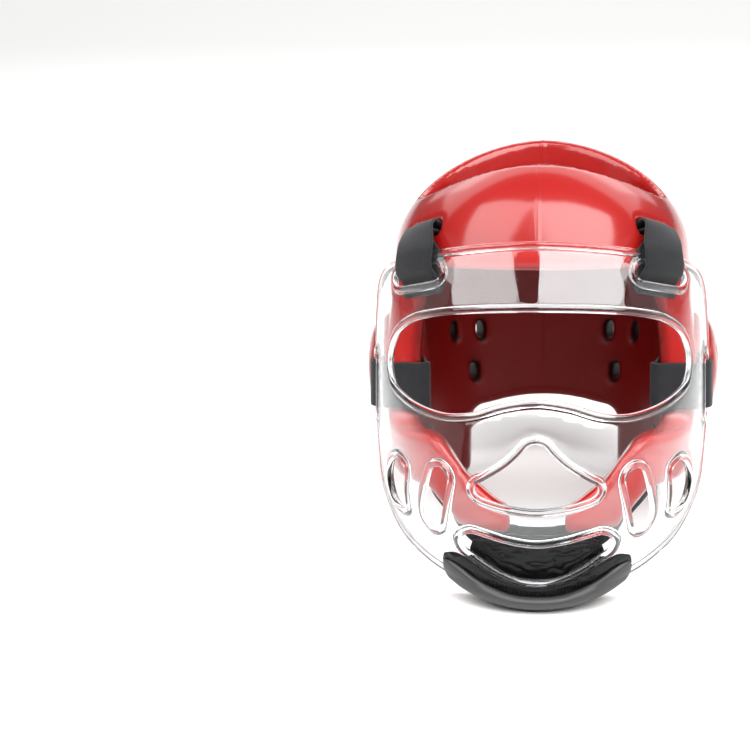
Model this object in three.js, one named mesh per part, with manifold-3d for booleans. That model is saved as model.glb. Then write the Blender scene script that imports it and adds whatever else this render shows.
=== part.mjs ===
// Full face boxing headgear: a dipped foam shell with an open crown, and a clear shield on four straps.
// Millimetres. Worn frame: x to the viewer's right, y to the back of the head, z up from under the chin.
import * as THREE from 'three';
import { mergeVertices } from 'three/addons/utils/BufferGeometryUtils.js';
import Module from 'manifold-3d';

const wasm = await Module();
wasm.setup();

// Foam shell: plan sections from the hem to the base of the dome. Square is the power of the rounded outline.
const SHELL = {
  sections: [
    { z: 36, halfWidth: 93, front: -130, mid: 0, back: 86, square: 2.4 },
    { z: 60, halfWidth: 97, front: -131, mid: 0, back: 93, square: 2.5 },
    { z: 90, halfWidth: 101, front: -131, mid: 0, back: 102, square: 2.8 },
    { z: 120, halfWidth: 103, front: -129, mid: 0, back: 110, square: 3.0 },
    { z: 150, halfWidth: 102.5, front: -127, mid: 0, back: 116, square: 3.0 },
    { z: 180, halfWidth: 101, front: -125, mid: 0, back: 119, square: 2.7 },
    { z: 212, halfWidth: 98, front: -122, mid: 0, back: 119, square: 2.38 },
  ],
  domeTop: 287,
  apexY: 28,
  facets: { lower: 7, dome: 8, around: 36 },
};

// Hollow for the head, closed in the same way over the crown.
const CAVITY = {
  sections: [
    { z: 20, halfWidth: 77, front: -109, mid: 0, back: 66, square: 2.5 },
    { z: 60, halfWidth: 78, front: -111, mid: 0, back: 74, square: 2.6 },
    { z: 90, halfWidth: 80, front: -110, mid: 0, back: 82, square: 2.9 },
    { z: 150, halfWidth: 81, front: -106, mid: 0, back: 96, square: 3.0 },
    { z: 180, halfWidth: 79, front: -104, mid: 0, back: 99, square: 2.8 },
    { z: 205, halfWidth: 77, front: -102, mid: 0, back: 99, square: 2.5 },
  ],
  domeTop: 267,
  apexY: 28,
  facets: { lower: 5, dome: 5, around: 28 },
};

// How fast each reach closes towards the top of the dome, as a power of the dome's cosine.
const DOME_CLOSING = { halfWidth: 1.1, front: 0.53, back: 0.75 };
const DOME_SQUARE = 2.2;
const DOME_LAST_RING = 86;

// Openings of the shell. Cuts start inside the hollow and end beyond the shell.
const BEYOND = { side: 150, front: -240, back: 160, top: 320 };
const CROWN = { halfWidth: 77, halfLength: 58, y: -20, fromZ: 215 };
const BROW = { z: 210, templeY: -62, cheekZ: 106, corner: 14 };
const CHEEK_CORNER = 8;
const CHIN_GAP = 17;
const NAPE = { halfWidth: 53, shoulder: 98, top: 109, corner: 14, fromY: 30 };
const REAR_WINDOW = { halfWidth: 40, halfHeight: 21, z: 229, fromY: 50 };
const EAR = { x: 104, y: 6, z: 137, bulge: [15, 37, 35], pocket: [17, 30, 32], pocketX: 79 };
const EAR_HOLE = { width: 12, height: 28, reach: 90 };
const VENT = { width: 6, height: 14, reach: 80 };
const VENTS = [
  { x: 46, y: 92, z: 150 },
  { x: 64, y: 78, z: 150 },
  { x: 50, y: 84, z: 121 },
];

// Jaw flap edges in the front view, from the cheek to the tip. The space over them is cut up to a level.
const FLAP_CUT_TOP = 140;
const FLAP_TOP = [
  { x: 110, z: 113 },
  { x: 74, z: 113 },
  { x: 66, z: 110 },
  { x: 55, z: 97 },
  { x: 45, z: 83 },
  { x: 35, z: 74 },
  { x: 25, z: 66 },
  { x: CHIN_GAP, z: 62 },
  { x: CHIN_GAP, z: 20 },
];
const FLAP_BOTTOM = [
  { x: 130, z: 70 },
  { x: 70, z: 72 },
  { x: 61, z: 62 },
  { x: 50, z: 49 },
  { x: 38, z: 45 },
  { x: 0, z: 45 },
];

// Hem of the sides and rear lobes in the side view.
const HEM = [
  { y: -60, z: 72 },
  { y: -30, z: 69 },
  { y: 10, z: 62 },
  { y: 45, z: 54 },
  { y: 75, z: 49 },
  { y: 140, z: 47 },
];

// Shield: plan sections, each half an ellipse from edge to edge by way of the front.
const SHIELD_SECTIONS = [
  { z: 0, halfWidth: 82, front: -136, edge: -75 },
  { z: 14, halfWidth: 83, front: -144, edge: -74 },
  { z: 22, halfWidth: 84.5, front: -149, edge: -71 },
  { z: 31, halfWidth: 86.5, front: -153.5, edge: -68 },
  { z: 40, halfWidth: 90.5, front: -157, edge: -64 },
  { z: 53, halfWidth: 96, front: -161, edge: -58 },
  { z: 66, halfWidth: 101, front: -163, edge: -52 },
  { z: 79, halfWidth: 103.7, front: -164, edge: -46 },
  { z: 110, halfWidth: 106.5, front: -162, edge: -40 },
  { z: 150, halfWidth: 107.5, front: -151, edge: -36 },
  { z: 186, halfWidth: 105.5, front: -138, edge: -38 },
  { z: 205, halfWidth: 103, front: -130.5, edge: -41 },
  { z: 227, halfWidth: 99.5, front: -124, edge: -46 },
  { z: 240, halfWidth: 97, front: -119.6, edge: -48 },
];
const SHIELD_WALL = 2;
const SHIELD_SHEET = { lowZ: 6, highZ: 234, endTurn: 97, columns: 22, rows: 11 };
const BEAD_RADIUS = 2.4;
const BEAD_SIDES = 4;
// Half height of the wall that a cut leaves, square on the sheet, and how far the cut reaches off the sheet.
const OUTLINE_CUT = { wall: 24, reach: 300 };
const OPENING_CUT = { wall: 8, reach: 90 };

// Middle lines of the shield's beads, right half, as turn from the front in degrees and height.
const OUTLINE = [
  { turn: 0, z: 226.5 },
  { turn: 20, z: 224.5 },
  { turn: 38, z: 220.4 },
  { turn: 54, z: 215.6 },
  { turn: 67, z: 210 },
  { turn: 77, z: 203 },
  { turn: 85, z: 191 },
  { turn: 89, z: 174 },
  { turn: 90.5, z: 148 },
  { turn: 90, z: 112 },
  { turn: 88.5, z: 88 },
  { turn: 85, z: 68 },
  { turn: 78, z: 53 },
  { turn: 68, z: 41.5 },
  { turn: 57, z: 33.6 },
  { turn: 44, z: 26 },
  { turn: 28, z: 19.4 },
  { turn: 12, z: 16 },
  { turn: 0, z: 15.4 },
];
const EYE_OPENING = [
  { turn: 0, z: 188.5 },
  { turn: 23, z: 187 },
  { turn: 37, z: 184 },
  { turn: 49, z: 178.5 },
  { turn: 58, z: 168 },
  { turn: 61.7, z: 152 },
  { turn: 59.5, z: 138 },
  { turn: 51, z: 130 },
  { turn: 39, z: 124 },
  { turn: 30, z: 122.3 },
  { turn: 21, z: 124.2 },
  { turn: 11, z: 130 },
  { turn: 0, z: 132.8 },
];
const MOUTH_OPENING = [
  { turn: 0, z: 111 },
  { turn: 3.3, z: 109.3 },
  { turn: 6.4, z: 103.4 },
  { turn: 10.6, z: 96.4 },
  { turn: 18.5, z: 87.2 },
  { turn: 21.7, z: 84 },
  { turn: 22.5, z: 79.5 },
  { turn: 20.6, z: 74.2 },
  { turn: 15.5, z: 70.9 },
  { turn: 8.5, z: 68.4 },
  { turn: 0, z: 67 },
];
const CHIN_SLOT = [
  { turn: 0, z: 46.4 },
  { turn: 10.5, z: 48.6 },
  { turn: 19, z: 52 },
  { turn: 25.5, z: 53.6 },
  { turn: 31, z: 48 },
  { turn: 30.4, z: 41 },
  { turn: 25, z: 34.6 },
  { turn: 17.5, z: 27 },
  { turn: 8.5, z: 21.2 },
  { turn: 0, z: 19.9 },
];
const OUTER_VENT = [
  { turn: 51.2, z: 87 },
  { turn: 53.5, z: 91 },
  { turn: 57.5, z: 93 },
  { turn: 61.5, z: 90.5 },
  { turn: 64.5, z: 85.5 },
  { turn: 67, z: 78 },
  { turn: 67.6, z: 69 },
  { turn: 66, z: 60.5 },
  { turn: 60.5, z: 57 },
  { turn: 55, z: 59.5 },
  { turn: 52.8, z: 72 },
];
// Straight slots with round ends: middle, length, width and lean from upright in the shield's own surface.
const INNER_VENT = { turn: 38, z: 71.8, length: 45.5, width: 19.5, lean: 23 };
const TOP_SLOT = { turn: 48.5, z: 206, length: 46, width: 15, lean: 80 };
const SIDE_SLOT = { turn: 80, z: 131, length: 46, width: 17.5, lean: 8 };

// Straps. Routes near a surface are given by the distance off it, with the turn in degrees.
const STRAP_THICK = 2;
const TOP_STRAP = { width: 33, mouthTurn: 51, mouthZ: 233, bow: 1.4, steps: 34 };
const POCKET = { width: 37, depth: 14.6, halfHeight: 5.8 };
// Out of the pocket, by the distance off the shell and up along it.
const TOP_STRAP_LEAVING = [
  { off: -10, rise: 1.8 },
  { off: -5, rise: 2.6 },
  { off: 1.5, rise: 3 },
];
// Down over the shield's top bead, in through the slot and up again behind it.
const TOP_STRAP_ROUND_BEAD = [
  { z: 221, off: 5 },
  { z: 214, off: 4.8 },
  { z: 208.8, off: 3.6 },
  { z: 205.6, off: 0 },
  { z: 202, off: -3.7 },
  { z: 197.5, off: -5.3 },
  { z: 195, off: -7.2 },
  { z: 198.5, off: -8.4 },
  { z: 204, off: -5.8 },
  { z: 209, off: -4.7 },
  { z: 216.8, off: -4.7 },
];
const TOP_STRAP_RETURNING = [
  { off: 1.7, rise: -8 },
  { off: 1.6, rise: -3.9 },
  { off: -1.5, rise: -3 },
  { off: -6, rise: -2.6 },
  { off: -10, rise: -1.8 },
];
const SIDE_STRAP = { width: 30, steps: 40 };
const SIDE_STRAP_SLOT = { x: 95, y: -26, depth: 60, length: 8, height: 34 };
// Seen from above: back along the outside, in through the shell, forward inside and out round its front face.
const SIDE_STRAP_PLAN = [
  { x: 110.6, y: -50 },
  { x: 111.4, y: -38 },
  { x: 110.8, y: -31.5 },
  { x: 108.6, y: -27.4 },
  { x: 104, y: -26 },
  { x: 86, y: -26 },
  { x: 79, y: -27.4 },
  { x: 77.2, y: -33 },
  { x: 76.4, y: -40 },
  { x: 74.6, y: -54 },
  { x: 72.2, y: -61.7 },
  { x: 75.8, y: -64.2 },
  { x: 86, y: -63.6 },
  { x: 96, y: -63.7 },
  { x: 100.9, y: -63.3 },
  { x: 104.6, y: -59.6 },
  { x: 109, y: -55.2 },
];
const CHIN_STRAP = { width: 20, off: -2.8, steps: 36 };
const CHIN_STRAP_ROUTE = [
  { turn: 0, z: 37 },
  { turn: 24, z: 42 },
  { turn: 38, z: 52 },
  { turn: 48, z: 61 },
  { turn: 62, z: 68 },
  { turn: 80, z: 76 },
  { turn: 96, z: 84 },
];
const REAR_STRAP = { halfTurn: 36, lowZ: 209, middleZ: 223, highZ: 237, thick: 2.4, off: 0.8, steps: 14 };

// Chin pieces, by the turn at their ends and how far they stand off the shield.
const CUSHION = { halfTurn: 29, drop: 4.6, topZ: 46.5, endRise: 4, front: -3.1, thick: 15, endThick: 8 };
// Section of the cushion, as shares of its thickness and of its height.
const CUSHION_SECTION = [
  { deep: 0, up: 0.08 },
  { deep: 0, up: 0.5 },
  { deep: 0.05, up: 0.92 },
  { deep: 0.4, up: 1 },
  { deep: 0.85, up: 0.9 },
  { deep: 1, up: 0.5 },
  { deep: 0.85, up: 0.1 },
  { deep: 0.4, up: 0 },
];
const BUMPER = { halfTurn: 41, steps: 16, grooveWall: 3, endShare: 0.3, underEdge: 2.8 };
// Levels of the chin lip by turn: top of the band in front of the shield, rim of the lip, and underside.
const BUMPER_LEVELS = [
  { turn: 0, top: 17.2, rim: 10.8, bottom: 2.4 },
  { turn: 10, top: 19.4, rim: 12, bottom: 3.4 },
  { turn: 19, top: 25.6, rim: 16.6, bottom: 6.2 },
  { turn: 26, top: 32.8, rim: 22, bottom: 9.6 },
  { turn: 32, top: 37.6, rim: 28, bottom: 13.4 },
  { turn: 37, top: 37, rim: 31.5, bottom: 17.4 },
  { turn: 41, top: 35, rim: 32, bottom: 20.8 },
];
// Section of the chin lip: distance off the shield, and height by its share of the way between two levels.
// The first three points are the groove that takes the shield's edge.
const BUMPER_SECTION = [
  { off: 2.5, from: 'top', to: 'rim', share: 0 },
  { off: 2.6, from: 'floor', to: 'bottom', share: 0 },
  { off: -2.8, from: 'floor', to: 'bottom', share: 0 },
  { off: -13.5, from: 'floor', to: 'bottom', share: 0 },
  { off: -16, from: 'floor', to: 'bottom', share: 0.41 },
  { off: -13, from: 'floor', to: 'bottom', share: 0.85 },
  { off: -7, from: 'floor', to: 'bottom', share: 1 },
  { off: 2, from: 'floor', to: 'bottom', share: 1 },
  { off: 6, from: 'bottom', to: 'rim', share: 0.17 },
  { off: 8.5, from: 'bottom', to: 'rim', share: 0.42 },
  { off: 9.2, from: 'bottom', to: 'rim', share: 0.66 },
  { off: 7.8, from: 'bottom', to: 'rim', share: 0.93 },
  { off: 5.2, from: 'rim', to: 'top', share: 0.08 },
  { off: 4.3, from: 'rim', to: 'top', share: 0.3 },
  { off: 4.3, from: 'top', to: 'rim', share: 0 },
];

// The plane it stands on when it is put down: under the chin bumper and under the two rear lobes.
const REST_CHIN = { y: -135, z: 3.5 };
const REST_LOBE = { y: 80, z: 51.5 };
const REST_TILT = Math.atan2(REST_LOBE.z - REST_CHIN.z, REST_LOBE.y - REST_CHIN.y);
const UNDER_REST = { width: 400, length: 500, depth: 80 };

const LOOKS = {
  foam: { color: '#c8201a', roughness: 0.32, metalness: 0 },
  clear: { color: '#e9edee', roughness: 0.05, metalness: 0, transparent: true, opacity: 0.3 },
  elastic: { color: '#26282b', roughness: 0.85, metalness: 0 },
  leather: { color: '#17171a', roughness: 0.38, metalness: 0 },
  lip: { color: '#333334', roughness: 0.55, metalness: 0 },
};

const X = new THREE.Vector3(1, 0, 0);
const Y = new THREE.Vector3(0, 1, 0);
const Z = new THREE.Vector3(0, 0, 1);
const SIDES = [
  { name: 'left', side: -1 },
  { name: 'right', side: 1 },
];
const radians = THREE.MathUtils.degToRad;

// Solid of a closed geometry.
function solidOf(geometry) {
  const bare = new THREE.BufferGeometry();
  bare.setAttribute('position', geometry.getAttribute('position'));
  bare.setIndex(geometry.index);
  const merged = mergeVertices(bare, 1e-4);
  return new wasm.Manifold(
    new wasm.Mesh({
      numProp: 3,
      vertProperties: new Float32Array(merged.attributes.position.array),
      triVerts: new Uint32Array(merged.index.array),
    }),
  );
}

// Geometry of a solid, shaded flat.
function geometryOf(solid) {
  const mesh = solid.getMesh();
  const geometry = new THREE.BufferGeometry();
  geometry.setAttribute('position', new THREE.BufferAttribute(mesh.vertProperties, 3));
  geometry.setIndex(new THREE.BufferAttribute(mesh.triVerts, 1));
  geometry.computeVertexNormals();
  return geometry;
}

// Solid of points and triangles, turned so that its faces look out.
function closedSolid(points, triangles) {
  let volume = 0;
  for (const [a, b, c] of triangles) {
    volume += points[a].dot(new THREE.Vector3().crossVectors(points[b], points[c]));
  }
  const index = triangles.flatMap(([a, b, c]) => (volume < 0 ? [a, c, b] : [a, b, c]));
  const geometry = new THREE.BufferGeometry().setFromPoints(points);
  geometry.setIndex(index);
  return solidOf(geometry);
}

// Skin over a row of rings with equal point counts, capped with an end outline or else closed on itself.
function loft(rings, endOutline = null) {
  const count = rings[0].length;
  const spans = endOutline ? rings.length - 1 : rings.length;
  const triangles = [];
  for (let r = 0; r < spans; r += 1) {
    const here = r * count;
    const next = ((r + 1) % rings.length) * count;
    for (let k = 0; k < count; k += 1) {
      const after = (k + 1) % count;
      triangles.push([here + k, here + after, next + after], [here + k, next + after, next + k]);
    }
  }
  if (endOutline) {
    const last = (rings.length - 1) * count;
    for (const [a, b, c] of THREE.ShapeUtils.triangulateShape(endOutline, [])) {
      const flip = THREE.ShapeUtils.isClockWise(endOutline);
      triangles.push(flip ? [a, b, c] : [a, c, b]);
      triangles.push(flip ? [last + a, last + c, last + b] : [last + a, last + b, last + c]);
    }
  }
  return closedSolid(rings.flat(), triangles);
}

// Body with a cone on each of two loops of points, used to cut along the wall between them.
function twoCones(nearLoop, farLoop, nearTip, farTip) {
  const count = nearLoop.length;
  const points = [...nearLoop, ...farLoop, nearTip, farTip];
  const triangles = nearLoop.flatMap((_, k) => {
    const after = (k + 1) % count;
    return [
      [k, after, 2 * count],
      [count + after, count + k, 2 * count + 1],
      [after, k, count + k],
      [after, count + k, count + after],
    ];
  });
  return closedSolid(points, triangles);
}

// Prism of a flat outline. Along x the outline is drawn in y and z, along y in x and z, along z in x and y.
function prism(shape, along, low, high, curveSegments = 5) {
  const depth = high - low;
  const geometry = new THREE.ExtrudeGeometry(shape, { depth, bevelEnabled: false, curveSegments });
  const frames = {
    x: new THREE.Matrix4().makeBasis(Y, Z, X).setPosition(low, 0, 0),
    y: new THREE.Matrix4().makeBasis(X, Z, Y.clone().negate()).setPosition(0, high, 0),
    z: new THREE.Matrix4().setPosition(0, 0, low),
  };
  return solidOf(geometry.applyMatrix4(frames[along]));
}

// Outline with round ends, upright about the origin.
function stadium(width, height) {
  const radius = width / 2;
  const straight = height / 2 - radius;
  const shape = new THREE.Shape();
  shape.absarc(0, straight, radius, 0, Math.PI, false);
  shape.absarc(0, -straight, radius, Math.PI, 2 * Math.PI, false);
  shape.closePath();
  return shape;
}

// Upright slot through the wall, pushed outwards from the head's axis through a point.
function wallSlot(place, { width, height, reach }) {
  const out = new THREE.Vector3(place.x, place.y, 0).normalize();
  const sideways = new THREE.Vector3().crossVectors(Z, out);
  const geometry = new THREE.ExtrudeGeometry(stadium(width, height), {
    depth: reach,
    bevelEnabled: false,
    curveSegments: 3,
  });
  const start = new THREE.Vector3(place.x, place.y, place.z).addScaledVector(out, -reach / 2);
  return solidOf(geometry.applyMatrix4(new THREE.Matrix4().makeBasis(sideways, Z, out).setPosition(start)));
}

// Value of a column on a smooth curve through a table's rows, which are in order of their key.
function columnAt(table, key, column, at) {
  const last = table.length - 1;
  let i = 0;
  while (i < last - 1 && at > table[i + 1][key]) i += 1;
  const slope = (k) => {
    const low = table[Math.max(k - 1, 0)];
    const high = table[Math.min(k + 1, last)];
    return (high[column] - low[column]) / (high[key] - low[key]);
  };
  const step = table[i + 1][key] - table[i][key];
  const u = THREE.MathUtils.clamp((at - table[i][key]) / step, 0, 1);
  const ease = u * u * (3 - 2 * u);
  const bend = slope(i) * u * (1 - u) * (1 - u) - slope(i + 1) * u * u * (1 - u);
  return table[i][column] * (1 - ease) + table[i + 1][column] * ease + bend * step;
}

// Plan section of the shell or of its hollow at a height.
function sectionAt(body, z) {
  const base = body.sections[body.sections.length - 1];
  if (z <= base.z) {
    const at = (column) => columnAt(body.sections, 'z', column, z);
    return {
      z,
      halfWidth: at('halfWidth'),
      front: at('front'),
      mid: at('mid'),
      back: at('back'),
      square: at('square'),
    };
  }
  const rise = Math.min((z - base.z) / (body.domeTop - base.z), 1);
  const closing = Math.sqrt(1 - rise * rise);
  const reach = (end, power) => body.apexY + (end - body.apexY) * closing ** power;
  return {
    z,
    halfWidth: base.halfWidth * closing ** DOME_CLOSING.halfWidth,
    front: reach(base.front, DOME_CLOSING.front),
    mid: THREE.MathUtils.lerp(base.mid, body.apexY, rise * rise),
    back: reach(base.back, DOME_CLOSING.back),
    square: THREE.MathUtils.lerp(base.square, DOME_SQUARE, rise),
  };
}

// Point of a body at a turn from the front, in radians, and a height.
function bodyPoint(body, turn, z) {
  const section = sectionAt(body, z);
  const power = 2 / section.square;
  const across = Math.sin(turn);
  const along = Math.cos(turn);
  const end = along > 0 ? section.front : section.back;
  return new THREE.Vector3(
    Math.sign(across) * section.halfWidth * Math.abs(across) ** power,
    section.mid + (end - section.mid) * Math.abs(along) ** power,
    z,
  );
}

// Outward direction of a surface given as a function of turn and height.
function outwardAt(surface, turn, z) {
  const step = 0.01;
  const alongTurn = surface(turn + step, z).sub(surface(turn - step, z));
  const alongZ = surface(turn, z + 1).sub(surface(turn, z - 1));
  return alongTurn.cross(alongZ).normalize();
}

// Point at a distance off a surface.
function offSurface(surface, turn, z, distance) {
  return surface(turn, z).addScaledVector(outwardAt(surface, turn, z), distance);
}

const shellSurface = (turn, z) => bodyPoint(SHELL, turn, z);
const cavitySurface = (turn, z) => bodyPoint(CAVITY, turn, z);

// Closed solid of a body from its lowest section to just under the top of its dome.
function bodySolid(body) {
  const { lower, dome, around } = body.facets;
  const bottom = body.sections[0].z;
  const base = body.sections[body.sections.length - 1].z;
  const heights = [];
  for (let k = 0; k < lower; k += 1) heights.push(THREE.MathUtils.lerp(bottom, base, k / lower));
  for (let k = 0; k < dome; k += 1) {
    heights.push(base + (body.domeTop - base) * Math.sin(radians((DOME_LAST_RING * k) / (dome - 1))));
  }
  const turns = Array.from({ length: around }, (_, k) => (2 * Math.PI * k) / around);
  const rings = heights.map((z) => turns.map((turn) => bodyPoint(body, turn, z)));
  return loft(rings, rings[0].map((p) => new THREE.Vector2(p.x, p.y)));
}

// Outline through mirrored front view edges, right side first, closed over a top or bottom level.
function mirroredOutline(edge, level) {
  const shape = new THREE.Shape();
  const left = edge.map(({ x, z }) => ({ x: -x, z })).reverse();
  shape.moveTo(edge[0].x, level);
  for (const { x, z } of [...edge, ...left]) shape.lineTo(x, z);
  shape.lineTo(-edge[0].x, level);
  shape.closePath();
  return shape;
}

function ellipsoid(radii, centre) {
  const geometry = new THREE.SphereGeometry(1, 14, 8);
  return solidOf(geometry.scale(...radii).translate(...centre));
}

// Everything under the plane that it stands on.
function underRestPlane() {
  const { width, length, depth } = UNDER_REST;
  const geometry = new THREE.BoxGeometry(width, length, depth);
  geometry.translate(0, 0, -depth / 2);
  geometry.rotateX(REST_TILT);
  return solidOf(geometry.translate(0, REST_CHIN.y, REST_CHIN.z));
}

// Frame of a top strap where it leaves the shell: its mouth and the directions outward, across and up along
// the shell, with the direction across it where it goes through the shield's slot.
function topStrapFrame(side) {
  const turn = side * radians(TOP_STRAP.mouthTurn);
  const mouth = shellSurface(turn, TOP_STRAP.mouthZ);
  const out = outwardAt(shellSurface, turn, TOP_STRAP.mouthZ);
  const slotEnd = (along) => slotPoint(TOP_SLOT, side, 0, along);
  const slotAcross = slotEnd(-TOP_STRAP.width / 2).sub(slotEnd(TOP_STRAP.width / 2)).normalize();
  const across = slotAcross.clone().projectOnPlane(out).normalize();
  const up = new THREE.Vector3().crossVectors(out, across).multiplyScalar(side);
  return { mouth, out, across, up, slotAcross };
}

function topStrapPocket(side) {
  const { mouth, across, up } = topStrapFrame(side);
  const geometry = new THREE.BoxGeometry(POCKET.width, 2 * POCKET.depth, 2 * POCKET.halfHeight);
  const frame = new THREE.Matrix4().makeBasis(across, new THREE.Vector3().crossVectors(up, across), up);
  return solidOf(geometry.applyMatrix4(frame.setPosition(mouth)));
}

function foamShell() {
  let foam = bodySolid(SHELL);
  for (const { side } of SIDES) foam = foam.add(ellipsoid(EAR.bulge, [side * EAR.x, EAR.y, EAR.z]));
  foam = foam.subtract(bodySolid(CAVITY));
  for (const { side } of SIDES) {
    foam = foam.subtract(ellipsoid(EAR.pocket, [side * EAR.pocketX, EAR.y, EAR.z]));
  }

  const crown = new THREE.Shape();
  crown.absellipse(0, CROWN.y, CROWN.halfWidth, CROWN.halfLength, 0, 2 * Math.PI);
  foam = foam.subtract(prism(crown, 'z', CROWN.fromZ, BEYOND.top, 13));

  const face = new THREE.Shape();
  face.moveTo(BEYOND.front, BROW.z);
  face.lineTo(BROW.templeY - BROW.corner, BROW.z);
  face.quadraticCurveTo(BROW.templeY, BROW.z, BROW.templeY, BROW.z - BROW.corner);
  face.lineTo(BROW.templeY, BROW.cheekZ + CHEEK_CORNER);
  face.quadraticCurveTo(BROW.templeY, BROW.cheekZ, BROW.templeY - CHEEK_CORNER, BROW.cheekZ);
  face.lineTo(BEYOND.front, BROW.cheekZ);
  face.closePath();
  foam = foam.subtract(prism(face, 'x', -BEYOND.side, BEYOND.side));

  foam = foam.subtract(prism(mirroredOutline(FLAP_TOP, FLAP_CUT_TOP), 'y', BEYOND.front, BROW.templeY));
  foam = foam.subtract(prism(mirroredOutline(FLAP_BOTTOM, 0), 'y', BEYOND.front, HEM[0].y));

  const hem = new THREE.Shape();
  hem.moveTo(HEM[0].y, 0);
  for (const { y, z } of HEM) hem.lineTo(y, z);
  hem.lineTo(HEM[HEM.length - 1].y, 0);
  hem.closePath();
  foam = foam.subtract(prism(hem, 'x', -BEYOND.side, BEYOND.side));

  const nape = new THREE.Shape();
  nape.moveTo(-NAPE.halfWidth, 0);
  nape.lineTo(-NAPE.halfWidth, NAPE.shoulder - NAPE.corner);
  nape.quadraticCurveTo(-NAPE.halfWidth, NAPE.shoulder, NAPE.corner - NAPE.halfWidth, NAPE.shoulder);
  nape.quadraticCurveTo(0, NAPE.top, NAPE.halfWidth - NAPE.corner, NAPE.shoulder);
  nape.quadraticCurveTo(NAPE.halfWidth, NAPE.shoulder, NAPE.halfWidth, NAPE.shoulder - NAPE.corner);
  nape.lineTo(NAPE.halfWidth, 0);
  nape.closePath();
  foam = foam.subtract(prism(nape, 'y', NAPE.fromY, BEYOND.back));

  const pane = new THREE.Shape();
  pane.absellipse(0, REAR_WINDOW.z, REAR_WINDOW.halfWidth, REAR_WINDOW.halfHeight, 0, 2 * Math.PI);
  foam = foam.subtract(prism(pane, 'y', REAR_WINDOW.fromY, BEYOND.back, 8));

  for (const { side } of SIDES) {
    foam = foam.subtract(wallSlot({ x: side * EAR.x, y: 0, z: EAR.z }, EAR_HOLE));
    for (const { x, y, z } of VENTS) foam = foam.subtract(wallSlot({ x: side * x, y, z }, VENT));
    const { x, y, depth, length, height } = SIDE_STRAP_SLOT;
    const slot = new THREE.BoxGeometry(depth, length, height).translate(side * x, y, SIDE_SLOT.z);
    foam = foam.subtract(solidOf(slot)).subtract(topStrapPocket(side));
  }
  return foam.subtract(underRestPlane());
}

// Point of the shield's middle surface at a turn, in radians, and a height.
function shieldSurface(turn, z) {
  const at = (column) => columnAt(SHIELD_SECTIONS, 'z', column, z);
  const edge = at('edge');
  return new THREE.Vector3(at('halfWidth') * Math.sin(turn), edge - (edge - at('front')) * Math.cos(turn), z);
}

// Closed curve on the shield through a half table and its mirror image.
function mirroredLoop(half) {
  const right = half.map(({ turn, z }) => shieldSurface(radians(turn), z));
  const left = half.slice(1, -1).reverse().map(({ turn, z }) => shieldSurface(-radians(turn), z));
  return new THREE.CatmullRomCurve3([...right, ...left], true, 'centripetal');
}

function sideLoop(table, side) {
  const points = table.map(({ turn, z }) => shieldSurface(side * radians(turn), z));
  return new THREE.CatmullRomCurve3(points, true, 'centripetal');
}

// Point of the shield at a place in the outline of a straight slot, as measured from the slot's middle.
function slotPoint({ turn, z, lean }, side, x, y) {
  const middle = radians(turn);
  const perRadian = shieldSurface(middle + 0.01, z).distanceTo(shieldSurface(middle - 0.01, z)) / 0.02;
  const tilt = radians(lean);
  const across = x * Math.cos(tilt) - y * Math.sin(tilt);
  const up = x * Math.sin(tilt) + y * Math.cos(tilt);
  return shieldSurface(side * (middle + across / perRadian), z + up);
}

function slotLoop(slot, side) {
  const outline = stadium(slot.width, slot.length).getSpacedPoints(12).slice(0, 12);
  const points = outline.map(({ x, y }) => slotPoint(slot, side, x, y));
  return new THREE.CatmullRomCurve3(points, true, 'centripetal');
}

// Round bead along a closed curve on the shield, with a flat on the outside and on the inside.
function bead(curve) {
  const rings = curve.points.map((p, i) => {
    const out = outwardAt(shieldSurface, ...shieldPlace(p));
    const aside = curve.getTangent(i / curve.points.length).cross(out).normalize();
    return Array.from({ length: BEAD_SIDES }, (_, k) => {
      const angle = (2 * Math.PI * (k + 0.5)) / BEAD_SIDES;
      return p
        .clone()
        .addScaledVector(aside, BEAD_RADIUS * Math.cos(angle))
        .addScaledVector(out, BEAD_RADIUS * Math.sin(angle));
    });
  });
  return loft(rings);
}

// Turn and height of a point on the shield.
function shieldPlace(p) {
  const at = (column) => columnAt(SHIELD_SECTIONS, 'z', column, p.z);
  const edge = at('edge');
  return [Math.atan2(p.x / at('halfWidth'), (edge - p.y) / (edge - at('front'))), p.z];
}

// Body that takes in the shield's sheet inside a closed curve. Its wall stands square on the sheet.
function insideOf(curve, { wall, reach }) {
  const loop = curve.points;
  const shifted = (distance) => loop.map((p) => offSurface(shieldSurface, ...shieldPlace(p), distance));
  const middle = loop.reduce((sum, p) => sum.add(p), new THREE.Vector3()).divideScalar(loop.length);
  const out = outwardAt(shieldSurface, ...shieldPlace(middle));
  const tip = (distance) => middle.clone().addScaledVector(out, distance);
  return twoCones(shifted(wall), shifted(-wall), tip(reach), tip(-reach));
}

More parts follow.
